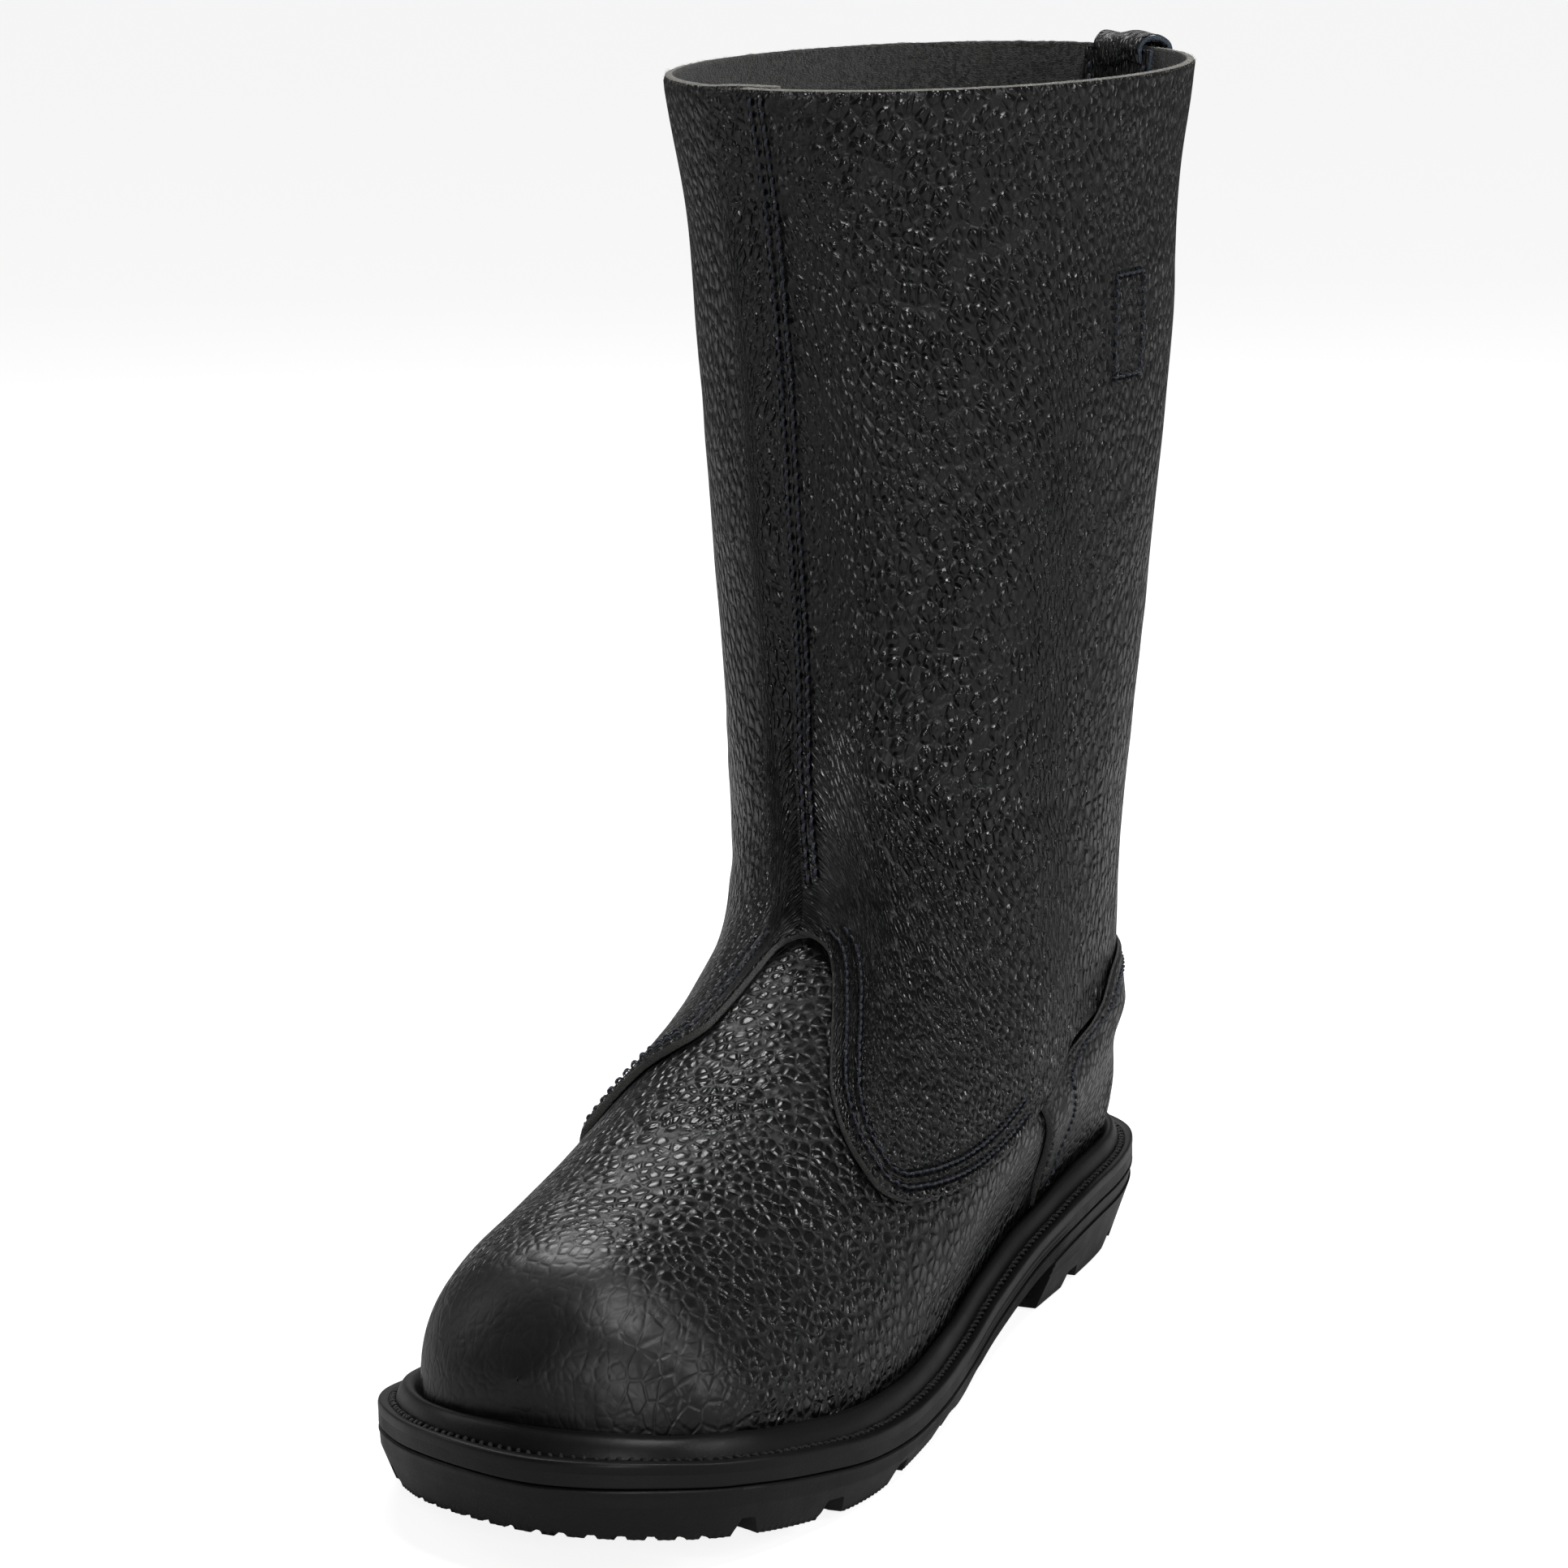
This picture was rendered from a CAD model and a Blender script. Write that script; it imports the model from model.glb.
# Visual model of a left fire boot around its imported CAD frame. Metres in Blender, millimetres in the maths below.
import math
import bpy
import numpy as np
from mathutils import Matrix, Vector
from mathutils.kdtree import KDTree


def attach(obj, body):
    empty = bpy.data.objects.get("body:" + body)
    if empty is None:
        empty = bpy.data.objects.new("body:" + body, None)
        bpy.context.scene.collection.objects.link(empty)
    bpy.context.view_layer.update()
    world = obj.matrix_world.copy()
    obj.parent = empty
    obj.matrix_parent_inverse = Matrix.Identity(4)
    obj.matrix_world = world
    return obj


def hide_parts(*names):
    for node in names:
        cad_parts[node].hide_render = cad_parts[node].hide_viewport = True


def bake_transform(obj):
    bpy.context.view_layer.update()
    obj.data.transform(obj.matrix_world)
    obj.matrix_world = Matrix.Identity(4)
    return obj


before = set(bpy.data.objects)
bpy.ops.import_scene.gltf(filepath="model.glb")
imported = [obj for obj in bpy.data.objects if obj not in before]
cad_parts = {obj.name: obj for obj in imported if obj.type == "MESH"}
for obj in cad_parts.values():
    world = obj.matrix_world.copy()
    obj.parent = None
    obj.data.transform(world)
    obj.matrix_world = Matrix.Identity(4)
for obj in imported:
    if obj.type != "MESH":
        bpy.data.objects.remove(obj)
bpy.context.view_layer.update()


RNG = np.random.default_rng(7)

# ------------------------------------------------------------------ driving dimensions (same as the CAD)
RIM_Z, T, GAP, WELT_T, MID_T, SHEET_T, LUG_D = 296.2, 2.2, 0.35, 2.5, 2.6, 4.0, 4.2
HEEL_BREAST_Y, BEAD_H = -46.0, 4.4
ST = np.array([
    [-100.5, 296.2, 66.0, 296.2, 59.5, 0], [-94.4, 266.0, 62.0, 266.0, 55.5, 0],
    [-88.6, 229.8, 57.5, 228.3, 53.7, 0], [-85.3, 194.3, 50.7, 187.5, 51.2, 0],
    [-82.9, 166.4, 43.9, 149.0, 48.6, 0], [-82.7, 146.0, 39.6, 118.2, 46.4, 0],
    [-84.6, 131.0, 38.3, 88.0, 44.3, 0], [-88.9, 117.6, 38.8, 56.0, 43.6, 0],
    [-95.0, 105.6, 36.5, 26.0, 44.8, 0], [-111.0, 96.4, 12.0, 14.0, 47.0, 0.8],
    [-130.0, 89.0, -35.0, 11.0, 49.4, 1.5], [-151.0, 81.2, -82.0, 7.0, 51.0, 1.6],
    [-173.0, 73.5, -125.0, 4.0, 49.8, 0], [-194.8, 68.2, -163.0, 4.0, 47.6, -1],
    [-212.6, 65.6, -196.0, 6.0, 44.6, -1], [-229.5, 62.4, -222.0, 9.0, 39.6, 0],
    [-241.4, 55.8, -238.0, 12.0, 32.0, 0.5], [-249.2, 46.8, -248.0, 15.0, 18.6, 0.2],
    [-252.6, 40.0, -252.6, 18.0, 0, 0]])
TIP = len(ST) - 1
OUTLINE = np.array([
    [0, 47.3], [11, 46.3], [22.5, 42], [32, 33], [37.6, 20], [41, 3], [42.6, -18], [43.3, -41], [44.2, -68],
    [46.3, -93], [50, -119], [54.6, -147], [57.2, -176], [57, -196], [54, -215], [49, -233], [40.5, -248],
    [28.5, -258], [15, -262.3], [2, -262], [-13, -257], [-27, -248.4], [-39, -236.5], [-47.5, -224],
    [-52.5, -210], [-54, -192], [-51.5, -168], [-46.5, -143], [-40, -118], [-35.2, -93], [-34.6, -68],
    [-37.2, -43], [-40, -20], [-40.5, 0], [-38.5, 18], [-32.5, 33], [-23, 42], [-11, 46.3]], float)
ZF = [[47, 24.6], [-10, 24.4], [-50, 21.8], [-90, 16.8], [-125, 13.6], [-160, 13.8], [-190, 16.2], [-215, 20], [-240, 24.2], [-263, 27.2]]
WW = [[47, 8.4], [10, 7.2], [-100, 6.9], [-150, 7.6], [-185, 9.0], [-215, 10], [-263, 10.4]]
ZT = [[60, 0], [-178, 0], [-195, 0.7], [-215, 2.9], [-240, 6.7], [-263, 9.8]]
LOW_L = [[-30, 8.25], [-2, 8.3], [3.5, 8.36], [8.5, 8.52], [12.2, 8.85], [15, 9.25], [18, 9.72], [22, 10.3], [25.8, 10.72], [35, 11.22],
         [43, 11.44], [52, 11.56], [57.7, 11.5], [61.8, 11.28], [65.5, 10.98], [71.2, 10.26], [78.5, 8.95], [83, 8.3], [95, 7.7], [120, 7.35], [180, 7.3]]
LOW_R = [[-30, 8.2], [3.5, 8.25], [7, 8.35], [9.5, 8.55], [11, 8.95], [12.2, 9.5], [13.6, 10.05], [17, 10.28], [22.8, 10.44], [32.2, 10.62],
         [43, 10.98], [52, 11.2], [57.7, 11.18], [61.8, 11.0], [65.5, 10.75], [71.2, 10.15], [78.5, 8.95], [83, 8.3], [95, 7.7], [120, 7.35], [180, 7.3]]
SEAM = [[0, -14], [1, -13], [5.6, -12.6], [6.6, -9.6], [7.6, -5], [8.3, -1.8], [18, -1.8]]
BACK = [[0, 157], [1.5, 158], [4, 163], [5.5, 171], [6.6, 180], [18, 180]]
HEEL_TOP = [[76, 9.35], [80, 8.86], [85.5, 8.3], [92.2, 7.78], [107, 7.04], [128, 6.6], [150, 6.42], [180, 6.35]]


# ------------------------------------------------------------------ small maths
def smooth(x):
    x = np.clip(x, 0, 1)
    return x * x * (3 - 2 * x)


def lerp(a, b, t):
    return a + (b - a) * t


def table(t):
    t = np.array(t, float)
    return t if t[0, 0] < t[-1, 0] else t[::-1]


def lin(t, x):
    t = table(t)
    return np.interp(x, t[:, 0], t[:, 1])


def soft(t, x):
    t = table(t)
    X, Y = t[:, 0], t[:, 1]
    x = np.asarray(x, float)
    d = np.diff(Y) / np.diff(X)
    m = np.zeros(len(X))
    pr = d[:-1] * d[1:]
    sm = d[:-1] + d[1:]
    m[1:-1] = np.where(pr <= 0, 0, 2 * pr / np.where(np.abs(sm) < 1e-12, 1, sm))
    i = np.clip(np.searchsorted(X, x, side="right") - 1, 0, len(X) - 2)
    h = X[i + 1] - X[i]
    u = np.clip((x - X[i]) / h, 0, 1)
    return (2 * u**3 - 3 * u * u + 1) * Y[i] + (u**3 - 2 * u * u + u) * h * m[i] + (3 * u * u - 2 * u**3) * Y[i + 1] + (u**3 - u * u) * h * m[i + 1]


def zf(y):
    return soft(ZF, y)


def zt(y):
    return soft(ZT, y)


def spow(a, e):
    return np.sign(a) * np.abs(a) ** e


def noise3(P, scale, seed=0):
    """Smooth value noise in 0..1 at points P."""
    Q = np.asarray(P, float) / scale + 1000.0
    I = np.floor(Q).astype(np.int64)
    F = Q - I
    F = F * F * (3 - 2 * F)

    def h(i, j, k):
        n = (i * 374761393 + j * 668265263 + k * 1440670441 + seed * 974634777) & 0xFFFFFFFF
        n = ((n ^ (n >> 13)) * 1274126177) & 0xFFFFFFFF
        return ((n ^ (n >> 16)) & 0xFFFF) / 65535.0
    r = 0
    for dx in (0, 1):
        for dy in (0, 1):
            for dz in (0, 1):
                w = (F[..., 0] if dx else 1 - F[..., 0]) * (F[..., 1] if dy else 1 - F[..., 1]) * (F[..., 2] if dz else 1 - F[..., 2])
                r = r + w * h(I[..., 0] + dx, I[..., 1] + dy, I[..., 2] + dz)
    return r


# ------------------------------------------------------------------ upper surface, same as the CAD
def section(s):
    P = ST
    n = len(P)
    t = np.clip(np.asarray(s, float), 0, n - 1)
    i = np.clip(t.astype(int), 0, n - 2)
    u = (t - i)[..., None]
    p0 = np.where((i == 0)[..., None], 2 * P[0] - P[1], P[np.maximum(i - 1, 0)])
    p1, p2 = P[i], P[i + 1]
    p3 = np.where((i == n - 2)[..., None], 2 * P[n - 1] - P[n - 2], P[np.minimum(i + 2, n - 1)])
    r = 0.5 * (2 * p1 + (p2 - p0) * u + (2 * p0 - 5 * p1 + 4 * p2 - p3) * u * u + (3 * p1 - p0 - 3 * p2 + p3) * u**3)
    v = 1 - (1 - u) ** 2
    rn = p1 + (p2 - p1) * v
    rn[..., 4:5] = (p1 + (p2 - p1) * u)[..., 4:5]
    k = smooth(u / 0.35)
    return np.where((i == n - 2)[..., None], r * (1 - k) + rn * k, r)


def raw_surf(s, phi):
    s = np.asarray(s, float) + 0 * np.asarray(phi, float)
    phi = np.asarray(phi, float) + 0 * s
    c = section(s)
    Fy, Fz, By, Bz, w, xc = [c[..., k] for k in range(6)]
    foot = smooth((s - 8) / 3)
    qb, qf = 2 + 3 * foot, 2 + 0.15 * foot
    cs, sn = np.cos(phi), np.sin(phi)
    e = np.where(cs >= 0, 2 / qf, 2 / qb)
    n, x = spow(cs, e), w * spow(sn, e)
    wp = -0.45 * foot
    nn = np.where(n >= 0, wp + (1 - wp) * n, wp + (1 + wp) * n)
    return np.stack([x + xc, (Fy + By) / 2 + (Fy - By) / 2 * nn, (Fz + Bz) / 2 + (Fz - Bz) / 2 * nn], -1)


def catmull_loop(P, k):
    n = len(P)
    u = (np.arange(k) / k)[None, :, None]
    a, b, c, d = [np.roll(P, -j, 0)[:, None, :] for j in (-1, 0, 1, 2)]
    R = 0.5 * (2 * b + (c - a) * u + (2 * a - 5 * b + 4 * c - d) * u * u + (3 * b - a - 3 * c + d) * u**3)
    return R.reshape(n * k, 2)


def bisect(f, a, b, it=40):
    a, b = np.array(a, float), np.array(b, float)
    for _ in range(it):
        m = (a + b) / 2
        g = f(m) > 0
        a, b = np.where(g, m, a), np.where(g, b, m)
    return (a + b) / 2


_co = catmull_loop(OUTLINE, 12)
SIDES = []
for sg in (1, -1):
    q = _co[_co[:, 0] * sg > 0]
    q = q[np.argsort(q[:, 1])]
    SIDES.append(np.stack([q[:, 1], np.abs(q[:, 0])], 1))
RATIO = []
for q, sg in enumerate((1, -1)):
    S = np.arange(8.15, 16.2, 0.05)

    def f(p, S=S):
        v = raw_surf(S, p)
        return v[..., 2] - zf(v[..., 1]) - 1
    ok = f(np.full(len(S), math.pi)) <= 0
    ph = bisect(f, np.full(len(S), math.radians(60)), np.full(len(S), math.pi), 30)
    v = raw_surf(S, ph * sg)[ok]
    C = np.stack([v[:, 1], np.abs(v[:, 0])], 1)
    C = C[np.argsort(C[:, 0])]
    R = []
    for y in np.arange(16, -232.1, -8):
        half = np.interp(y, SIDES[q][:, 0], SIDES[q][:, 1]) - lin(WW, y) - GAP - lerp(-(T + GAP), 0.35, smooth((y + 52) / 14))
        R.append([y, half / np.interp(y, C[:, 0], C[:, 1])])
    R = np.array(R)
    R2 = R.copy()
    R2[1:-1, 1] = (R[:-2, 1] + 2 * R[1:-1, 1] + R[2:, 1]) / 4
    RATIO.append(R2)


def surf(s, phi):
    v = raw_surf(s, phi)
    h = v[..., 2] - zf(v[..., 1])
    g = 1 - smooth((h - 2) / 34)
    r = np.where(v[..., 0] >= 0, soft(RATIO[0], v[..., 1]), soft(RATIO[1], v[..., 1]))
    v[..., 0] = v[..., 0] * lerp(1, r, g)
    return v


def normal(s, phi, e=2e-3):
    s = np.clip(np.asarray(s, float) + 0 * np.asarray(phi, float), e, TIP - 3 * e)
    phi = np.asarray(phi, float) + 0 * s
    n = np.cross(surf(s + e, phi) - surf(s - e, phi), surf(s, phi + e) - surf(s, phi - e))
    n /= np.linalg.norm(n, axis=-1, keepdims=True) + 1e-12
    c = section(s)
    M = np.stack([c[..., 5], (c[..., 0] + c[..., 2]) / 2, (c[..., 1] + c[..., 3]) / 2], -1)
    g = np.sign(((surf(s, phi) - M) * n).sum(-1, keepdims=True))
    return n * np.where(g == 0, 1, g)


def off(s, phi, d):
    d = np.asarray(d, float) + 0 * (np.asarray(s, float) + np.asarray(phi, float))
    return surf(s, phi) + normal(s, phi) * d[..., None]


def feather(s, h):
    s = np.asarray(s, float)
    if s.ndim == 0:
        return float(feather(s[None], h)[0])

    def f(p):
        v = surf(s, p)
        return v[..., 2] - zf(v[..., 1]) - h
    r = bisect(f, np.full(s.shape, math.radians(60)), np.full(s.shape, math.pi))
    return np.where(f(np.full(s.shape, math.pi)) > 0, math.pi, r)


def foot_s(phi, h):
    phi = np.asarray(phi, float)

    def f(s):
        v = surf(s, phi)
        return v[..., 2] - zf(v[..., 1]) - h
    return bisect(f, np.full(phi.shape, 7.4), np.full(phi.shape, 9.05))


def seam(s):
    return np.radians(lin(SEAM, s))


def d_vamp(s):
    return -(T + GAP) - 1.5 * (1 - smooth((s - 8.3) / 0.8))


def d_heel(s, p):
    a = np.degrees(np.where(p > math.pi, 2 * math.pi - p, p))
    a = np.abs(a)
    low = np.where(p > math.pi, lin(LOW_R, a), lin(LOW_L, a))
    return 2.7 - 2.95 * smooth((s - low + 0.15) / 0.45)


def outer_wall(s, p):
    a = np.degrees(np.abs(p))
    return np.where((s < 9.95) & (a > 76), d_heel(s, np.abs(p)) - 0.35, d_vamp(s))


def back_seam(s):
    return np.radians(soft(BACK, s))


def heel_foot(s0, h):
    S = np.arange(s0, 9, -0.05)
    A = feather(S, h)
    j = feather(9.0, h)
    B = np.arange(j + 0.04, math.pi, 0.04)
    s = np.concatenate([S, [9], foot_s(B, h), foot_s(np.array([math.pi]), h)])
    p = np.concatenate([A, [j], B, [math.pi]])
    L = np.concatenate([[0], np.cumsum(np.linalg.norm(np.diff(surf(s, p), axis=0), axis=1))])

    def g(k):
        t = np.clip(k, 0, 1) * L[-1]
        return np.interp(t, L, s), np.interp(t, L, p)
    return g


def heel_map(h, f0, s1, top=HEEL_TOP):
    foot = heel_foot(s1, h)

    def m(u, v):
        k = np.abs(2 * u - 1)
        pt = np.radians(lerp(180, f0, k))
        st = soft(top, np.degrees(pt))
        sb, pb = foot(1 - k)
        p = lerp(pt, pb, v)
        return lerp(st, sb, v), np.where(u < 0.5, p, 2 * math.pi - p)
    return m


# ------------------------------------------------------------------ materials
def new_mat(name):
    m = bpy.data.materials.new(name)
    m.use_nodes = True
    nt = m.node_tree
    for n in list(nt.nodes):
        if n.type != "OUTPUT_MATERIAL":
            nt.nodes.remove(n)
    out = [n for n in nt.nodes if n.type == "OUTPUT_MATERIAL"][0]
    b = nt.nodes.new("ShaderNodeBsdfPrincipled")
    nt.links.new(b.outputs[0], out.inputs[0])
    return m, nt, b


class G:
    """Shorthand for wiring shader nodes."""

    def __init__(self, nt):
        self.nt = nt

    def put(self, sock, v):
        if hasattr(v, "is_linked"):
            self.nt.links.new(v, sock)
        elif v is not None:
            sock.default_value = v

    def math(self, op, a, b=None, c=None, clamp=False):
        n = self.nt.nodes.new("ShaderNodeMath")
        n.operation, n.use_clamp = op, clamp
        for k, v in enumerate((a, b, c)):
            self.put(n.inputs[k], v)
        return n.outputs[0]

    def vmath(self, op, a, b=None, scale=None):
        n = self.nt.nodes.new("ShaderNodeVectorMath")
        n.operation = op
        self.put(n.inputs[0], a)
        self.put(n.inputs[1], b)
        if scale is not None:
            self.put(n.inputs["Scale"], scale)
        return n.outputs[0]

    def attr(self, name, fac=False):
        n = self.nt.nodes.new("ShaderNodeAttribute")
        n.attribute_name = name
        return n.outputs["Fac"] if fac else n.outputs["Vector"]

    def pos(self):
        n = self.nt.nodes.new("ShaderNodeTexCoord")
        return self.vmath("SCALE", n.outputs["Object"], scale=1000.0)

    def mapping(self, v, rot=(0, 0, 0), scale=(1, 1, 1)):
        n = self.nt.nodes.new("ShaderNodeMapping")
        self.put(n.inputs["Vector"], v)
        n.inputs["Rotation"].default_value = rot
        n.inputs["Scale"].default_value = scale
        return n.outputs[0]

    def noise(self, v, scale, detail=2.0, rough=0.5, col=False):
        n = self.nt.nodes.new("ShaderNodeTexNoise")
        self.put(n.inputs["Vector"], v)
        n.inputs["Scale"].default_value = scale
        n.inputs["Detail"].default_value = detail
        n.inputs["Roughness"].default_value = rough
        return n.outputs["Color"] if col else n.outputs["Fac"]

    def voronoi(self, v, scale, feature="F1", rnd=1.0, dims="3D"):
        n = self.nt.nodes.new("ShaderNodeTexVoronoi")
        n.voronoi_dimensions = dims
        n.feature = feature
        self.put(n.inputs["Vector"], v)
        n.inputs["Scale"].default_value = scale
        n.inputs["Randomness"].default_value = rnd
        return n.outputs["Distance"]

    def ramp(self, v, lo, hi, a=0.0, b=1.0, kind="SMOOTHSTEP"):
        n = self.nt.nodes.new("ShaderNodeMapRange")
        n.interpolation_type = kind
        self.put(n.inputs["Value"], v)
        for k, x in (("From Min", lo), ("From Max", hi), ("To Min", a), ("To Max", b)):
            self.put(n.inputs[k], x)
        return n.outputs[0]

    def mix(self, f, a, b):
        n = self.nt.nodes.new("ShaderNodeMix")
        n.data_type = "RGBA"
        self.put(n.inputs[0], f)
        self.put(n.inputs[6], (*a, 1) if isinstance(a, tuple) else a)
        self.put(n.inputs[7], (*b, 1) if isinstance(b, tuple) else b)
        return n.outputs[2]

    def bump(self, height, dist, strength=1.0, normal=None):
        n = self.nt.nodes.new("ShaderNodeBump")
        n.inputs["Strength"].default_value = strength
        n.inputs["Distance"].default_value = dist
        self.put(n.inputs["Height"], height)
        if normal is not None:
            self.put(n.inputs["Normal"], normal)
        return n.outputs[0]


def srgb(*c):
    return tuple(((x / 255) / 12.92 if x / 255 <= 0.04045 else ((x / 255 + 0.055) / 1.055) ** 2.4) for x in c)


def leather(name, cell=2.5, stretch=1.35, rot=0.6, depth=0.8, base=(20, 20, 22), rough=(0.30, 0.5), solid=False):
    m, nt, b = new_mat(name)
    g = G(nt)
    gr = g.pos() if solid else g.attr("GR")
    amp = g.attr("AMP", True)
    wrk = g.attr("WRK", True)
    st = g.attr("ST", True)
    warp = g.vmath("SUBTRACT", g.noise(gr, 0.16, 2.0, 0.5, True), (0.5, 0.5, 0.5))
    v = g.vmath("ADD", gr, g.vmath("SCALE", warp, scale=1.3))
    # pebbled grain: rounded domes with narrow valleys, two sizes mixed by place
    blendm = g.ramp(g.noise(gr, 0.035, 2.0), 0.42, 0.62)
    lowf = g.ramp(g.noise(gr, 0.06, 2.0), 0.3, 0.7, 0.88, 1.1)

    def domes(angle, sc, sx, sy):
        q = g.mapping(v, (0, 0, angle), (sx, sy, 1))
        f = g.math("MULTIPLY", g.voronoi(q, sc, "F1", 0.85), 1.45)
        e = g.ramp(g.voronoi(q, sc, "DISTANCE_TO_EDGE", 0.85), 0.0, 0.27)
        d = g.math("SUBTRACT", 1.0, g.math("MULTIPLY", f, f), None, True)
        return g.math("ADD", g.math("MULTIPLY", d, 0.6), g.math("MULTIPLY", e, 0.4))
    dome = domes(rot, 1 / cell, stretch, 1 / stretch)
    fine = domes(-rot * 1.7, 1.5 / cell, 1.15, 0.9)
    grain = g.math("ADD", g.math("MULTIPLY", dome, g.math("SUBTRACT", 1.0, g.math("MULTIPLY", blendm, 0.25))), g.math("MULTIPLY", fine, g.math("MULTIPLY", blendm, 0.2)))
    grain = g.math("MULTIPLY", grain, g.math("MULTIPLY", amp, lowf))
    # creases: longer cells
    v3 = g.mapping(v, (0, 0, 1.35), (1.75, 0.62, 1))
    e3 = g.voronoi(v3, 0.62 / cell, "DISTANCE_TO_EDGE", 1.0)
    crease = g.math("MULTIPLY", g.ramp(e3, 0.0, 0.16), wrk)
    pores = g.noise(gr, 2.6, 3.0, 0.6)
    # needle channel along each stitch row
    groove = g.ramp(st, 0.25, 1.15)
    h = g.math("ADD", grain, g.math("MULTIPLY", crease, 0.22))
    h = g.math("MULTIPLY", h, g.ramp(st, 0.3, 2.6, 0.35, 1.0))
    h = g.math("ADD", h, g.math("MULTIPLY", pores, 0.012))
    h = g.math("ADD", h, g.math("MULTIPLY", groove, 0.75))
    nb = g.bump(h, depth / 1000.0)
    wide = g.noise(g.pos(), 0.05, 2.0, 0.5)
    nb = g.bump(wide, 0.0035, 0.35, nb)
    nt.links.new(nb, b.inputs["Normal"])
    valley = g.ramp(grain, 0.05, 0.62)
    c = g.mix(valley, srgb(base[0] * 0.62, base[1] * 0.62, base[2] * 0.66), srgb(*base))
    c = g.mix(g.ramp(g.noise(g.pos(), 0.03, 3.0, 0.6), 0.5, 0.75, 0.0, 0.22), c, srgb(base[0] * 1.5, base[1] * 1.45, base[2] * 1.4))
    nt.links.new(c, b.inputs["Base Color"])
    r = g.math("ADD", g.ramp(valley, 0, 1, rough[1], rough[0]), g.math("MULTIPLY", g.math("SUBTRACT", g.noise(g.pos(), 0.09, 3.0), 0.5), 0.22))
    r = g.math("ADD", r, g.math("MULTIPLY", g.attr("RGH", True), 1.0))
    nt.links.new(r, b.inputs["Roughness"])
    b.inputs["Specular IOR Level"].default_value = 0.5
    return m


def simple(name, base, rough, bump=(1.2, 0.12), spec=0.5, metal=0.0, mottled=0.25, sheen=0.0, extra=None, rr=0.12):
    m, nt, b = new_mat(name)
    g = G(nt)
    p = g.pos()
    n1 = g.noise(p, bump[0], 4.0, 0.65)
    n2 = g.noise(p, bump[0] * 0.07, 3.0, 0.6)
    h = g.math("ADD", n1, g.math("MULTIPLY", n2, 0.6))
    if extra in ("fibres", "rim"):
        w = g.voronoi(g.mapping(p, (0.3, 0.5, 0.2), (1, 1, 3.2)), 1.4, "F1", 1.0)
        h = g.math("ADD", h, g.math("MULTIPLY", w, 0.8))
    nt.links.new(g.bump(h, bump[1] / 1000.0), b.inputs["Normal"])
    lo = tuple(x * (1 - mottled) for x in base)
    hi = tuple(min(255, x * (1 + mottled)) for x in base)
    c = g.mix(g.ramp(n1, 0.35, 0.65), srgb(*lo), srgb(*hi))
    c = g.mix(g.ramp(n2, 0.45, 0.72, 0.0, 0.5), c, srgb(*hi))
    if extra == "rim":
        sep = nt.nodes.new("ShaderNodeSeparateXYZ")
        nt.links.new(p, sep.inputs[0])
        c = g.mix(g.ramp(sep.outputs[2], 283, 288), srgb(62, 61, 59), c)
    nt.links.new(c, b.inputs["Base Color"])
    r = g.math("ADD", g.math("MULTIPLY", g.math("SUBTRACT", n2, 0.5), rr * 2), rough)
    nt.links.new(r, b.inputs["Roughness"])
    b.inputs["Metallic"].default_value = metal
    b.inputs["Specular IOR Level"].default_value = spec
    if sheen:
        b.inputs["Sheen Weight"].default_value = sheen
        b.inputs["Sheen Roughness"].default_value = 0.5
    return m


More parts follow.
